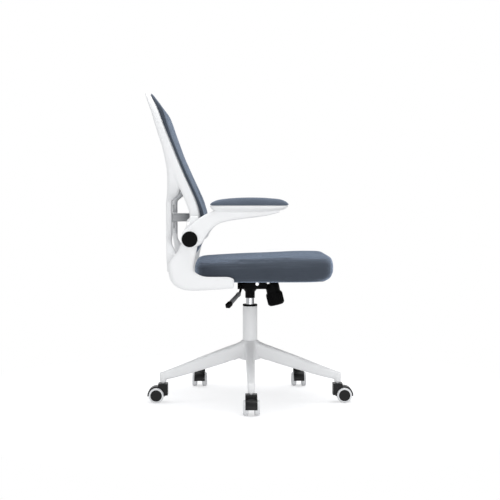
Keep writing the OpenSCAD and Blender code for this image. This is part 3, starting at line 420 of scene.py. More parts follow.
def capped(rings, round_in):
    """Adds small drawn-in rings at both ends, so that a moulding's ends are rounded."""
    def drawn(ring, towards, share, step):
        middle = sum((Vector(p) for p in ring), Vector()) / len(ring)
        return [middle + (Vector(p) - middle) * share + towards * step for p in ring]

    first = sum((Vector(p) for p in rings[0]), Vector()) / len(rings[0])
    second = sum((Vector(p) for p in rings[1]), Vector()) / len(rings[1])
    last = sum((Vector(p) for p in rings[-1]), Vector()) / len(rings[-1])
    before = sum((Vector(p) for p in rings[-2]), Vector()) / len(rings[-2])
    out, end = (first - second).normalized(), (last - before).normalized()
    head = [drawn(rings[0], out, s, d * round_in) for s, d in ((0.55, 1.0), (0.78, 0.85), (0.93, 0.5))]
    tail = [drawn(rings[-1], end, s, d * round_in) for s, d in ((0.93, 0.5), (0.78, 0.85), (0.55, 1.0))]
    return head + list(rings) + tail


def mirrored(part):
    points, faces = part
    return [Vector((p.x, -p.y, p.z)) for p in points], [tuple(reversed(f)) for f in faces]


# Star base

HUB_TOP, HUB_RADIUS, HUB_BORE = 0.197, 0.036, 0.0251
STEM_CIRCLE = 0.308
# Leg stations: reach, top height, underside height, half width
LEG_STATIONS = [
    (0.018, 0.1975, 0.134, 0.0180), (0.034, 0.1925, 0.1375, 0.0185), (0.060, 0.1830, 0.1300, 0.0165),
    (0.100, 0.1705, 0.1195, 0.0150), (0.150, 0.1545, 0.1075, 0.0143), (0.200, 0.1380, 0.0955, 0.0134),
    (0.250, 0.1210, 0.0845, 0.0125), (0.290, 0.1080, 0.0775, 0.0118), (0.312, 0.1008, 0.0765, 0.0112),
]


def leg_direction(k):
    a = math.radians(-90 + 72 * k)
    return Vector((math.cos(a), math.sin(a), 0)), Vector((-math.sin(a), math.cos(a), 0))


def revolved(profile, centre=Vector(), steps=64, along=ALONG_Z, side=ALONG_X):
    """Closed skin of a profile of (radius, height) turned about an axis."""
    third = along.cross(side)
    rings = []
    for r, h in profile:
        rings.append([centre + along * h + (side * math.cos(math.tau * k / steps)
                                            + third * math.sin(math.tau * k / steps)) * r
                      for k in range(steps)])
    return skin(rings)


def star_leg(k, inset=0.0, drop=0.0, first=0, last=len(LEG_STATIONS)):
    """One leg, or with an inset the hollow under it."""
    out, across = leg_direction(k)
    rings = []
    for reach, top, under, half in line_through(LEG_STATIONS[first:last], 3):
        low = under - drop
        middle = out * reach + Vector((0, 0, (top - inset + low) / 2))
        rings.append(round_box(middle, half - inset, (top - inset - low) / 2, across, ALONG_Z, 4.5))
    return skin(rings)


def blend_hub(base):
    """Melts the legs' roots into the hub with wide soft corners."""
    group = base.vertex_groups.new(name="roots")
    for vertex in base.data.vertices:
        reach = vertex.co.xy.length
        weight = min((reach - 0.028) / 0.006, (0.105 - reach) / 0.040, 1.0)
        if weight > 0:
            group.add([vertex.index], weight, "REPLACE")
    soften = base.modifiers.new("roots", "SMOOTH")
    soften.factor = 0.5
    soften.iterations = 30
    soften.vertex_group = group.name
    apply_modifiers(base)
    base.vertex_groups.clear()


def build_star_base():
    parts = [revolved([(0.012, 0.131), (HUB_RADIUS - 0.003, 0.131), (HUB_RADIUS, 0.134),
                       (HUB_RADIUS, 0.184), (0.0335, 0.1915), (0.0295, HUB_TOP), (0.012, HUB_TOP)])]
    for k in range(5):
        out, across = leg_direction(k)
        parts.append(star_leg(k))
        parts.append(revolved([(0.002, 0.067), (0.0100, 0.067), (0.0110, 0.068), (0.0110, 0.0785),
                               (0.0120, 0.081), (0.0120, 0.0985), (0.0105, 0.1010), (0.002, 0.1010)],
                              out * STEM_CIRCLE))
    base = new_piece("star_base_moulding", parts, "white_plastic")
    hollows = [star_leg(k, 0.0042, 0.02, 2, 8) for k in range(5)]
    hollows.append(revolved([(HUB_BORE, 0.1), (HUB_BORE, 0.3)]))
    fuse(base, 0.0022, 4, "white_plastic")
    blend_hub(base)
    cut_away(base, hollows, "white_plastic")
    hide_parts("base_star")
    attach(base, "base")


# Side brackets, drawn for the left and mirrored

BRACKET_INNER = 0.250
# Pivot that the arms flip up about
PIVOT_X, PIVOT_Z = -0.194, 0.554
# Stations along the bracket: front edge x and z, rear edge x and z, thickness
BRACKET_STATIONS = [
    (-0.1675, 0.6225, -0.1955, 0.6225, 0.0215), (-0.1655, 0.6050, -0.2010, 0.6050, 0.0220),
    (-0.1650, 0.5800, -0.2120, 0.5850, 0.0220), (-0.1660, 0.5550, -0.2210, 0.5600, 0.0220),
    (-0.1700, 0.5350, -0.2245, 0.5350, 0.0220), (-0.1750, 0.5100, -0.2330, 0.5150, 0.0240),
    (-0.1810, 0.4860, -0.2480, 0.4950, 0.0280), (-0.1840, 0.4650, -0.2620, 0.4750, 0.0315),
    (-0.1815, 0.4520, -0.2625, 0.4450, 0.0335), (-0.1720, 0.4430, -0.2550, 0.4205, 0.0340),
    (-0.1600, 0.4370, -0.2390, 0.4030, 0.0340), (-0.1460, 0.4335, -0.2120, 0.3915, 0.0340),
    (-0.1200, 0.4325, -0.1700, 0.3895, 0.0340), (-0.0950, 0.4322, -0.1150, 0.3925, 0.0338),
    (-0.0720, 0.4318, -0.0760, 0.3952, 0.0330), (-0.0585, 0.4270, -0.0590, 0.3970, 0.0320),
]


def bracket_skin():
    rings = []
    for fx, fz, rx, rz, thick in line_through(BRACKET_STATIONS, 3):
        front, rear = Vector((fx, 0, fz)), Vector((rx, 0, rz))
        middle = (front + rear) / 2 + Vector((0, BRACKET_INNER + thick / 2, 0))
        rings.append(round_box(middle, (front - rear).length / 2, thick / 2,
                               (front - rear).normalized(), ALONG_Y, 6.0, 28))
    return skin(capped(rings, 0.0045))


def build_brackets():
    tab = []
    for z, grow in ((0.3972, -0.0010), (0.3980, 0), (0.4110, 0), (0.4118, -0.0010)):
        tab.append([Vector((x, y, z)) for x, y in (
            (-0.1495 - grow, 0.160 - grow), (-0.0642 + grow, 0.160 - grow),
            (-0.0642 + grow, 0.254), (-0.1495 - grow, 0.254))])
    boss = revolved([(0.004, 0.016), (0.012, 0.016), (0.012, 0.0512), (0.0114, 0.0518), (0.004, 0.0518)],
                    Vector((PIVOT_X, BRACKET_INNER, PIVOT_Z)), 48, ALONG_Y, ALONG_X)
    parts = [bracket_skin(), skin(tab), boss]
    for name, node, chosen in (("bracket_moulding_left", "bracket_left", parts),
                               ("bracket_moulding_right", "bracket_right", [mirrored(p) for p in parts])):
        piece = new_piece(name, chosen, "white_plastic")
        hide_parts(node)
        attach(piece, "seat")


# Backrest frame

BACK_LOW, BACK_HIGH, BACK_HALF = 0.488, 1.035, 0.233
BACK_MIDDLE = (BACK_LOW + BACK_HIGH) / 2
BACK_REAR = -0.277
BACK_DEPTH, RAIL_DEPTH, RAIL_WIDTH = 0.112, 0.035, 0.024
# Front face of the ring against height, in shares of the back's height and depth
BACK_FRONT = [
    (-0.1, 0.6), (0, 0.66), (0.03, 0.73), (0.1225, 0.92), (0.2026, 0.99), (0.2593, 1), (0.313, 0.94),
    (0.382, 0.81), (0.454, 0.652), (0.523, 0.5), (0.663, 0.214), (0.802, -0.063), (0.874, -0.196),
    (0.945, -0.366), (1, -0.523)]
RAIL_SHARES = [(0, 0.7), (0.2, 0.86), (0.38, 1), (0.61, 0.97), (0.81, 0.74), (0.94, 0.57), (1, 0.4)]
# Uprights: height share, rear and front face in shares of depth, inner and outer face of the half width
UPRIGHT_STATIONS = [
    (-0.075, 0.06, 0.4, 0.93, 1.0), (0.03, 0.04, 0.33, 0.93, 1.0), (0.09, 0.02, 0.19, 0.78, 0.9),
    (0.125, 0.004, 0.18, 0.648, 0.765), (0.143, 0, 0.18, 0.622, 0.735), (0.24, 0, 0.18, 0.62, 0.73),
    (0.33, 0, 0.18, 0.62, 0.73), (0.346, 0.004, 0.2, 0.624, 0.742),
    (0.385, 0.04, 0.40, 0.66, 0.86), (0.440, 0.06, 0.46, 0.72, 0.965), (0.500, 0.06, 0.44, 0.76, 0.99),
    (0.557, 0.03, 0.36, 0.8, 0.992), (0.648, -0.06, 0.18, 0.88, 0.992), (0.74, -0.18, 0.0, 0.91, 0.985)]
# Groove in each upright's inner face, for the lumbar bar's tongue: x, y and z limits
GROOVE_LOW, GROOVE_HIGH = Vector((-0.27092, 0.1340, 0.5780)), Vector((-0.26292, 0.14946, 0.6620))


def back_share(z):
    return (z - BACK_LOW) / (BACK_HIGH - BACK_LOW)


def back_front(z):
    return BACK_REAR + BACK_DEPTH * at_height(BACK_FRONT, back_share(z))


def back_rail_rear(z):
    return back_front(z) - RAIL_DEPTH * at_height(RAIL_SHARES, back_share(z))


def back_ring(steps=120, count=16):
    """The rail round the mesh: a rounded section that follows the curved front."""
    rings = []
    half_h = (BACK_HIGH - BACK_LOW) / 2
    for i in range(steps):
        a = math.tau * i / steps
        outer = Vector(squircle(BACK_HALF, half_h, 5.0, a))
        inner = Vector(squircle(BACK_HALF - RAIL_WIDTH, half_h - RAIL_WIDTH, 5.0, a))
        ring = []
        for k in range(count):
            u, v = squircle(0.5, 0.5, 4.0, math.tau * (k + 0.5) / count)
            y, up = outer.lerp(inner, 0.5 + u)
            z = BACK_MIDDLE + up
            front, rear = back_front(z), back_rail_rear(z)
            ring.append(Vector((front + (rear - front) * (0.5 + v), y, z)))
        rings.append(ring)
    return skin(rings, looped=True)


def back_upright():
    rings = []
    for share, rear, front, inner, outer in line_through(UPRIGHT_STATIONS, 5):
        z = BACK_LOW + share * (BACK_HIGH - BACK_LOW)
        x0, x1 = BACK_REAR + rear * BACK_DEPTH, BACK_REAR + front * BACK_DEPTH
        y0, y1 = inner * BACK_HALF, outer * BACK_HALF
        middle = Vector(((x0 + x1) / 2, (y0 + y1) / 2, z))
        rings.append(round_box(middle, (x1 - x0) / 2, (y1 - y0) / 2, ALONG_X, ALONG_Y, 4.5))
    return skin(capped(rings, 0.002))


def bolt_foot(x, z):
    """Block on the frame that the bracket's bolt goes into."""
    rings = []
    for y, share in ((0.2150, 0.9), (0.2170, 1), (0.2480, 1), (0.2499, 0.94)):
        rings.append(round_box(Vector((x + 0.006, y, z)), 0.015 * share, 0.015 * share,
                               ALONG_X, ALONG_Z, 6.0, 24))
    return skin(rings)


def build_back_frame():
    side = [back_upright(), bolt_foot(-0.1971, 0.6023), bolt_foot(-0.2416, 0.4909)]
    parts = [back_ring()] + side + [mirrored(part) for part in side]
    frame_piece = new_piece("back_frame_moulding", parts, "white_plastic")
    fuse(frame_piece, 0.0024, 10, "white_plastic")
    groove = block_skin(GROOVE_LOW, GROOVE_HIGH)
    cut_away(frame_piece, [groove, mirrored(groove)], "white_plastic")
    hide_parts("back_frame")
    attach(frame_piece, "seat")


# Arms, drawn for the left and mirrored

ARM_INNER, ARM_THICK = 0.2723, 0.030
ARM_MIDDLE = ARM_INNER + ARM_THICK / 2
# Stations along the arm's beam: upper edge x and z, lower edge x and z, thickness
ARM_STATIONS = [
    (-0.2190, 0.5650, -0.1850, 0.5290, 0.0300), (-0.2160, 0.5780, -0.1680, 0.5320, 0.0300),
    (-0.2020, 0.5890, -0.1535, 0.5430, 0.0300), (-0.1840, 0.6050, -0.1425, 0.5630, 0.0300),
    (-0.1600, 0.6230, -0.1240, 0.5865, 0.0300), (-0.1350, 0.6370, -0.1010, 0.6030, 0.0300),
    (-0.1080, 0.6450, -0.0690, 0.6120, 0.0300), (-0.0700, 0.6490, -0.0240, 0.6185, 0.0300),
    (-0.0200, 0.6500, 0.0210, 0.6240, 0.0295), (0.0350, 0.6500, 0.0560, 0.6300, 0.0270),
    (0.0800, 0.6500, 0.0890, 0.6385, 0.0220),
]
PAD_CENTRE_X, PAD_HALF, PAD_HALF_WIDTH = -0.006, 0.124, 0.042
ARM_TOP = 0.660
# Tray under the pad: depth, and the shares of its length and width there
TRAY_LEVELS = [
    (0.0, 0.985, 0.975), (0.0008, 1.0, 1.0), (0.0035, 1.0, 1.0), (0.0070, 0.985, 0.955),
    (0.0110, 0.955, 0.86), (0.0150, 0.91, 0.71), (0.0180, 0.86, 0.55), (0.0196, 0.78, 0.38)]
# Round end of the arm on its pivot: radius, and height over the arm's inner face
ARM_HUB = [
    (0.0122, 0.0), (0.0258, 0.0), (0.0280, 0.0022), (0.0280, 0.0278), (0.0262, 0.0298), (0.0122, 0.0298)]


def arm_beam():
    rings = []
    for ux, uz, lx, lz, thick in line_through(ARM_STATIONS, 4):
        upper, lower = Vector((ux, 0, uz)), Vector((lx, 0, lz))
        middle = (upper + lower) / 2 + Vector((0, ARM_MIDDLE, 0))
        rings.append(round_box(middle, (upper - lower).length / 2, thick / 2,
                               (upper - lower).normalized(), ALONG_Y, 4.0, 24))
    return skin(capped(rings, 0.003))


def arm_tray():
    """Boat-shaped tray under the pad, deeper in the middle."""
    rings = []
    for depth, length, width in TRAY_LEVELS:
        ring = []
        for k in range(48):
            x, y = squircle(PAD_HALF * length, PAD_HALF_WIDTH * width, 3.0, math.tau * k / 48)
            rise = 0.35 * depth * max(x / PAD_HALF, 0) ** 2
            ring.append(Vector((PAD_CENTRE_X + x, ARM_MIDDLE + y, ARM_TOP - depth + rise)))
        rings.append(ring)
    return skin(rings)


def build_arms():
    hub = revolved(ARM_HUB, Vector((PIVOT_X, ARM_INNER, PIVOT_Z)), 72, ALONG_Y, ALONG_X)
    parts = [arm_beam(), arm_tray(), hub]
    for side, node, body, chosen in (("left", "arm_left", "arm_l", parts),
                                     ("right", "arm_right", "arm_r", [mirrored(p) for p in parts])):
        piece = new_piece("arm_moulding_" + side, chosen, "white_plastic")
        fuse(piece, 0.0016, 3, "white_plastic")
        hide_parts(node)
        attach(piece, body)


# Lumbar bar

def build_lumbar_bar():
    """Curved strap behind the mesh; its end blocks carry tongues that slide in the uprights' grooves."""
    low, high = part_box("lumbar_bar")
    middle_z, half_h = (low.z + high.z) / 2, (high.z - low.z) / 2
    rings = []
    for i in range(41):
        u = 2 * i / 40 - 1
        x = -0.2613 + 0.082 * (1 - abs(u) ** 2.6)
        rings.append(round_box(Vector((x, u * 0.1392, middle_z)), 0.0025, half_h - 0.0006,
                               ALONG_X, ALONG_Z, 5.0, 20))
    ends = []
    for x, y, half_x, half_y in ((-0.2659, 0.1391, 0.0090, 0.0050), (-0.2669, 0.1455, 0.0036, 0.0036)):
        block = []
        for share, z in ((0.90, -1.0), (1, -0.92), (1, 0.92), (0.90, 1.0)):
            block.append(round_box(Vector((x, y, middle_z + half_h * z)), half_x * share, half_y * share,
                                   ALONG_X, ALONG_Y, 7.0, 28))
        ends.append(skin(block))
    piece = new_piece("lumbar_strap", [skin(rings)] + ends + [mirrored(end) for end in ends], "white_plastic")
    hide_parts("lumbar_bar")
    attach(piece, "lumbar")


# Padded pieces, swollen as cloth

# Height of each top above its underside, along the middle: x from the centre, height
SEAT_TOP = [
    (-0.2315, 0.0705), (-0.190, 0.0721), (-0.107, 0.0767), (-0.052, 0.0795), (0.002, 0.0813),
    (0.057, 0.0838), (0.112, 0.0866), (0.150, 0.0872), (0.190, 0.0872), (0.2315, 0.0862)]
PAD_TOP = [
    (-0.124, 0.0090), (-0.105, 0.0162), (-0.086, 0.0200), (-0.067, 0.0222), (-0.048, 0.0238),
    (-0.010, 0.0252), (0.028, 0.0252), (0.046, 0.0248), (0.066, 0.0229), (0.084, 0.0216),
    (0.103, 0.0191), (0.124, 0.0120)]
# Side profiles: share of the height, and how far it is drawn in
SEAT_SIDE = [
    (0, 0.0260), (0.02, 0.0180), (0.06, 0.0115), (0.14, 0.0055), (0.30, 0.0010), (0.46, 0.0), (0.58, 0.0010),
    (0.68, 0.0040), (0.77, 0.0095), (0.85, 0.0180), (0.91, 0.0310), (0.95, 0.0500), (0.98, 0.0800),
    (1.0, 0.1230)]
PAD_SIDE = [
    (0, 0.0040), (0.07, 0.0012), (0.2, 0.0), (0.4, 0.0006), (0.6, 0.0030), (0.75, 0.0065), (0.87, 0.0120),
    (0.95, 0.0200), (1.0, 0.0330)]


# Room over the brackets' tabs: limits along X, and of the half width
TAB_REAR, TAB_FRONT, TAB_INNER, TAB_OUTER = -0.155, -0.059, 0.150, 0.254


def padded_skin(centre, half_x, half_y, top, side, power, count, nose=(1.0, 1.0), heel=(1.0, 1.0)):
    """Closed crowned pad on a flat underside; nose and heel scale each end's drawing in, low and high."""
    rings = []
    for share, inset in line_through(side, 2):
        ring = []
        for k in range(count):
            a = math.tau * (k + 0.5) / count
            drawn = (nose if math.cos(a) > 0 else heel)[0 if share < 0.5 else 1]
            x, y = squircle(half_x - inset * drawn, half_y - inset, power, a)
            ring.append(centre + Vector((x, y, share * at_height(top, x))))
        rings.append(ring)
    return skin(rings)


def voxel_skin(piece, voxel):
    """Even small faces over a whole piece, ready to behave as cloth."""
    remesh = piece.modifiers.new("even", "REMESH")
    remesh.mode = "VOXEL"
    remesh.voxel_size = voxel
    soften = piece.modifiers.new("soften", "SMOOTH")
    soften.iterations = 3
    apply_modifiers(piece)


def inflate(piece, held, cap, pressure=4.0, frames=20):
    """Swells a piece as cloth over foam: held(point) stays in place and no point moves farther than cap."""
    points = [vertex.co.copy() for vertex in piece.data.vertices]
    group = piece.vertex_groups.new(name="held")
    group.add([k for k, point in enumerate(points) if held(point)], 1.0, "REPLACE")
    modifier = piece.modifiers.new("cloth", "CLOTH")
    cloth_settings = modifier.settings
    cloth_settings.quality = 4
    cloth_settings.mass = 0.3
    cloth_settings.tension_stiffness = 12
    cloth_settings.compression_stiffness = 12
    cloth_settings.bending_stiffness = 0.6
    cloth_settings.use_pressure = True
    cloth_settings.uniform_pressure_force = pressure
    cloth_settings.effector_weights.gravity = 0
    cloth_settings.vertex_group_mass = group.name
    modifier.collision_settings.use_collision = False
    modifier.point_cache.frame_start = 1
    modifier.point_cache.frame_end = frames
    scene = bpy.context.scene
    for number in range(1, frames + 1):
        scene.frame_set(number)
    swollen = piece.evaluated_get(bpy.context.evaluated_depsgraph_get()).data
    moves = [swollen.vertices[k].co - point for k, point in enumerate(points)]
    piece.modifiers.clear()
    piece.vertex_groups.clear()
    for vertex, point, move in zip(piece.data.vertices, points, moves):
        if move.length > cap:
            move = move * (cap / move.length)
        vertex.co = point + move
    scene.frame_set(1)


def fill_box(piece, low, high):
    """Scales a piece's points so that it fills a box."""
    corners = [vertex.co for vertex in piece.data.vertices]
    first = Vector([min(point[k] for point in corners) for k in range(3)])
    last = Vector([max(point[k] for point in corners) for k in range(3)])
    for vertex in piece.data.vertices:
        vertex.co = Vector([low[k] + (vertex.co[k] - first[k]) * (high[k] - low[k]) / (last[k] - first[k])
                            for k in range(3)])


def wrinkle(piece, depth, run, weight):
    """Shallow folds along the cloth; run stretches them and weight(point, normal) says where they lie."""
    normals = [vertex.normal.copy() for vertex in piece.data.vertices]
    for vertex, normal in zip(piece.data.vertices, normals):
        place = Vector([vertex.co[k] * run[k] for k in range(3)])
        fold = noise.noise(place) + 0.5 * noise.noise(place * 2.1 + Vector((7.3, 1.9, 4.4)))
        vertex.co = vertex.co + normal * (fold * depth * weight(vertex.co, normal))


def finish_pad(piece, slot, node, body):
    split = piece.modifiers.new("fine", "SUBSURF")
    split.levels = split.render_levels = 1
    apply_modifiers(piece)
    dress(piece, slot)
    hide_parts(node)
    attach(piece, body)


def build_seat_cushion():
    """Foam block under one pulled cloth, which wraps round the board's edge and is fixed under it."""
    low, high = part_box("seat_cushion")
    board_low, board_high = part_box("seat_board")
    centre = Vector(((low.x + high.x) / 2, 0, board_low.z - 0.0012))
    half_x, half_y = (high.x - low.x) / 2, (high.y - low.y) / 2
    nose, heel, room = (1.5, 0.15), (0.6, 0.0), 0.006
    block = padded_skin(centre, half_x - room, half_y - room, SEAT_TOP, SEAT_SIDE, 6.0, 120, nose, heel)
    piece = new_piece("seat_pad", [block], "seat_fabric")
    voxel_skin(piece, 0.005)
    inflate(piece, lambda point: point.z < centre.z + 0.006, 0.003, 0.9)
    fill_box(piece, Vector((low.x, low.y, centre.z)), Vector((high.x, high.y, centre.z + 0.0885)))
    wrinkle(piece, 0.0013, (6.0, 9.0, 100.0), lambda point, normal: max(0.0, 1 - normal.z * normal.z * 1.4))
    inner_x, inner_y = (board_high.x - board_low.x) / 2 - 0.024, (board_high.y - board_low.y) / 2 - 0.024
    for vertex in piece.data.vertices:
        share = (abs(vertex.co.x - centre.x) / inner_x) ** 7 + (abs(vertex.co.y) / inner_y) ** 7
        if share < 1 and vertex.co.z < board_high.z + 0.0004:
            vertex.co.z = board_high.z + 0.0004
        over_tab = TAB_REAR < vertex.co.x < TAB_FRONT and TAB_INNER < abs(vertex.co.y) < TAB_OUTER
        if over_tab and vertex.co.z < board_low.z + 0.0006:
            vertex.co.z = board_low.z + 0.0006
    finish_pad(piece, "seat_fabric", "seat_cushion", "seat")


def build_arm_pads():
    for side, node, body in (("left", "arm_pad_left", "arm_l"), ("right", "arm_pad_right", "arm_r")):
        low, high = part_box(node)
        centre = Vector(((low.x + high.x) / 2, (low.y + high.y) / 2, low.z))
        half_x, half_y = (high.x - low.x) / 2, (high.y - low.y) / 2
        room = 0.002
        block = padded_skin(centre, half_x - room, half_y - room, PAD_TOP, PAD_SIDE, 3.0, 72)
        piece = new_piece("arm_rest_pad_" + side, [block], "pad_fabric")
        voxel_skin(piece, 0.0032)
        inflate(piece, lambda point: point.z < low.z + 0.003, 0.006)
        fill_box(piece, low, Vector((high.x, high.y, low.z + 0.0254)))
        wrinkle(piece, 0.0003, (30.0, 30.0, 120.0), lambda point, normal: 1 - abs(normal.z))
        finish_pad(piece, "pad_fabric", node, body)


# Thickness of the back pad against height, and its edge: share of the plan, share of the thickness
MESH_THICK = 0.016
MESH_TOP = [
    (0, 0.85), (0.05, 1.0), (0.13, 1.05), (0.21, 0.92), (0.3, 0.74), (0.4, 0.62), (0.6, 0.60), (0.7, 0.66),
    (0.78, 0.80), (0.83, 0.94),
    (0.875, 1.06), (0.90, 1.0), (0.92, 0.84), (0.94, 0.66), (0.97, 0.52), (1, 0.36)]
MESH_EDGE = [
    (0.12, 0), (0.30, 0), (0.50, 0), (0.68, 0), (0.80, 0), (0.90, 0), (0.95, 0), (0.980, 0.0), (0.985, 0.03),
    (0.987, 0.09), (0.993, 0.15), (0.999, 0.23), (1.0, 0.42), (0.998, 0.66), (0.991, 0.84), (0.976, 0.96),
    (0.95, 1.0), (0.92, 1.0), (0.87, 1.0), (0.80, 1.0), (0.72, 1.0), (0.62, 1.0), (0.50, 1.0), (0.38, 1.0),
    (0.25, 1.0), (0.12, 1.0)]


def build_back_pad():
    """Padded mesh on the ring: a rolled edge, tucked in where it meets the rail, and a soft front."""
    half_y, half_z = BACK_HALF - 0.003, (BACK_HIGH - BACK_LOW) / 2 - 0.003
    rings = []
    for plan, thick in MESH_EDGE:
        ring = []
        for k in range(176):
            y, up = squircle(half_y * plan, half_z * plan, 4.4, math.tau * (k + 0.5) / 176)
            z = BACK_MIDDLE + up
            depth = 0.0013 + MESH_THICK * thick * at_height(MESH_TOP, back_share(z))
            ring.append(Vector((back_front(z) + depth, y, z)))
        rings.append(ring)
    piece = new_piece("back_pad", [skin(rings)], "back_fabric")

    def held(point):
        edge = (abs(point.y) / half_y) ** 4.4 + (abs(point.z - BACK_MIDDLE) / half_z) ** 4.4
        return edge > 0.62 or point.x < back_front(point.z) + 0.003

    inflate(piece, held, 0.003, 1.5)
    finish_pad(piece, "back_fabric", "back_mesh", "seat")


# Lever grip

GRIP_START, GRIP_END = Vector((-0.036, -0.112, 0.368)), Vector((-0.077, -0.188, 0.330))
# Reach along the lever, and half thickness
SLEEVE_PROFILE = [
    (0.0040, 0.0044), (0.0044, 0.0062), (0.0060, 0.0070), (0.0140, 0.0072), (0.0165, 0.0068),
    (0.0180, 0.0060), (0.0200, 0.0062), (0.0450, 0.0067), (0.0680, 0.0070), (0.0700, 0.0064)]
END_CAP_PROFILE = [
    (0.0700, 0.0066), (0.0701, 0.0071), (0.0706, 0.0074), (0.0716, 0.0075), (0.0910, 0.0076),
    (0.0917, 0.0075), (0.0920, 0.0071)]


def build_lever_grip():
    """Sleeve on the lever's rod, black plastic painted grey for its sheen, with a darker squared end."""
    along = (GRIP_END - GRIP_START).normalized()
    across = along.cross(ALONG_Z).normalized()
    third = along.cross(across)
    sleeve = [round_box(GRIP_START + along * reach, radius, radius, across, third, 2.8, 28)
              for reach, radius in SLEEVE_PROFILE]
    end = [round_box(GRIP_START + along * reach, radius, radius * 0.92, across, third, 12.0, 48)
           for reach, radius in END_CAP_PROFILE]
    for name, rings, material in (("lever_sleeve", sleeve, SLEEVE_PAINTED_SHEEN_MATERIAL),
                                  ("lever_end_cap", end, MATERIALS["black_plastic"])):
        piece = new_piece(name, [skin(rings)], "black_plastic")
        piece.data.materials[0] = material
        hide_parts("lever_grip")
        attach(piece, "lever")


# Widths of the small rounds on the edges of the pieces whose CAD shape stays
EDGE_ROUNDS = {
    "caster_hood": 0.0024, "wheel_disc": 0.0005, "wheel": 0.0008, "lift_collar": 0.0008,
    "lift_outer_tube": 0.0005, "lift_cylinder": 0.0004, "mechanism_housing": 0.0016, "seat_plate": 0.0006,
    "tension_knob": 0.0008, "pivot_caps": 0.0006, "height_lever": 0.0006, "frame_bolts": 0.0004,
    "seat_board": 0.0010}


def round_edges():
    for node, piece in frame["nodes"].items():
        kind = next((name for name in EDGE_ROUNDS if node.startswith(name)), None)
        if kind is None:
            continue
        weld = piece.modifiers.new("weld", "WELD")
        weld.merge_threshold = 0.00001
        edges = piece.modifiers.new("edges", "BEVEL")
        edges.width = EDGE_ROUNDS[kind]
        edges.segments = 3
        edges.limit_method = "ANGLE"
        edges.angle_limit = math.radians(40)
        edges.harden_normals = True


round_edges()
build_star_base()
build_brackets()
build_back_frame()
build_arms()
build_lumbar_bar()
build_lever_grip()
build_seat_cushion()
build_arm_pads()
build_back_pad()


# Stage, light and camera

def seen_directly(tree):
    """One for rays from the camera and in reflections, and zero for light that bounces on."""
    path = tree.nodes.new("ShaderNodeLightPath")
    clear = maths(tree, "MAXIMUM", path.outputs["Is Camera Ray"], path.outputs["Is Transmission Ray"])
    return maths(tree, "MAXIMUM", clear, path.outputs["Is Glossy Ray"])


def build_floor_material():
    """White paper: near the chair it keeps a faint shadow, and farther out it is plain white."""
    material, tree, shader = blank_material("Pale floor", FLOOR_GREY, 0.9)
    near = tree.nodes.new("ShaderNodeBsdfDiffuse")
    near.inputs["Color"].default_value = FLOOR_SHADOW_SHARE
    lift = tree.nodes.new("ShaderNodeEmission")
    lift.inputs["Color"].default_value = PAPER_WHITE
    lift.inputs["Strength"].default_value = 0.56
    under_chair = tree.nodes.new("ShaderNodeAddShader")
    tree.links.new(near.outputs[0], under_chair.inputs[0])
    tree.links.new(lift.outputs[0], under_chair.inputs[1])
    paper = tree.nodes.new("ShaderNodeEmission")
    paper.inputs["Color"].default_value = PAPER_WHITE
    paper.inputs["Strength"].default_value = 1.0
    away = tree.nodes.new("ShaderNodeVectorMath")
    away.operation = "LENGTH"
    tree.links.new(place_in_metres(tree), away.inputs[0])
    fade = tree.nodes.new("ShaderNodeMapRange")
    tree.links.new(away.outputs["Value"], fade.inputs["Value"])
    fade.inputs["From Min"].default_value = 0.45
    fade.inputs["From Max"].default_value = 1.10
    shown = tree.nodes.new("ShaderNodeMixShader")
    tree.links.new(fade.outputs["Result"], shown.inputs[0])
    tree.links.new(under_chair.outputs[0], shown.inputs[1])
    tree.links.new(paper.outputs[0], shown.inputs[2])
    mix = tree.nodes.new("ShaderNodeMixShader")
    tree.links.new(seen_directly(tree), mix.inputs[0])
    tree.links.new(shader.outputs[0], mix.inputs[1])
    tree.links.new(shown.outputs[0], mix.inputs[2])
    tree.links.new(mix.outputs[0], tree.nodes["Material Output"].inputs["Surface"])
    return material


def white_stage():
    """Pale floor that keeps the chair's soft shadow and shows white to the camera."""
    mesh = bpy.data.meshes.new("studio_floor")
    half = 12.0
    corners = [(-half, -half, 0), (half, -half, 0), (half, half, 0), (-half, half, 0)]
    mesh.from_pydata(corners, [], [(0, 1, 2, 3)])
    floor = bpy.data.objects.new("studio_floor", mesh)
    bpy.context.scene.collection.objects.link(floor)
    floor.location.z = -0.0005
    mesh.materials.append(build_floor_material())


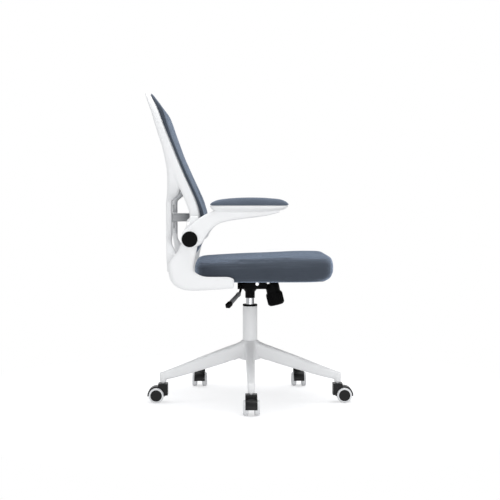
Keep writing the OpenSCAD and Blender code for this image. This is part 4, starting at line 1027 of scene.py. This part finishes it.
def soft_lamp(name, place, aim, size, power):
    data = bpy.data.lights.new(name, "AREA")
    data.shape = "RECTANGLE"
    data.size, data.size_y = size
    data.energy = power
    lamp = bpy.data.objects.new(name, data)
    lamp.location = place
    lamp.rotation_euler = (Vector(aim) - Vector(place)).to_track_quat("-Z", "Y").to_euler()
    bpy.context.scene.collection.objects.link(lamp)


def white_world():
    """Even studio light, and plain white wherever the camera or a reflection looks past the chair."""
    world = bpy.data.worlds.new("Studio")
    bpy.context.scene.world = world
    world.use_nodes = True
    tree = world.node_tree
    tree.nodes.clear()
    light = tree.nodes.new("ShaderNodeBackground")
    light.inputs["Color"].default_value = (0.97, 0.985, 1.0, 1)
    light.inputs["Strength"].default_value = 0.64
    paper = tree.nodes.new("ShaderNodeBackground")
    paper.inputs["Color"].default_value = PAPER_WHITE
    paper.inputs["Strength"].default_value = 1.0
    mix = tree.nodes.new("ShaderNodeMixShader")
    tree.links.new(seen_directly(tree), mix.inputs[0])
    tree.links.new(light.outputs[0], mix.inputs[1])
    tree.links.new(paper.outputs[0], mix.inputs[2])
    tree.links.new(mix.outputs[0], tree.nodes.new("ShaderNodeOutputWorld").inputs[0])


def photo_camera():
    data = bpy.data.cameras.new("photo_camera")
    data.sensor_width = 36
    data.lens = CAMERA_LENS
    data.clip_end = 60
    camera = bpy.data.objects.new("photo_camera", data)
    camera.location = CAMERA_PLACE
    camera.rotation_euler = (math.radians(90 - CAMERA_PITCH), 0, -math.radians(CAMERA_YAW))
    bpy.context.scene.collection.objects.link(camera)
    bpy.context.scene.camera = camera


white_stage()
white_world()
soft_lamp("front_lamp", (1.6, -2.6, 2.6), (0, 0, 0.5), (2.4, 2.4), 12)
soft_lamp("rear_lamp", (-2.6, -1.6, 2.0), (0, 0, 0.6), (2.2, 2.2), 5)
soft_lamp("low_lamp", (0.2, -3.0, 0.45), (0, 0, 0.25), (3.0, 0.7), 19)
soft_lamp("top_lamp", (0.1, 0.2, 3.4), (0, 0, 0.5), (2.4, 2.4), 66)
photo_camera()
bpy.context.scene.view_settings.view_transform = "Standard"
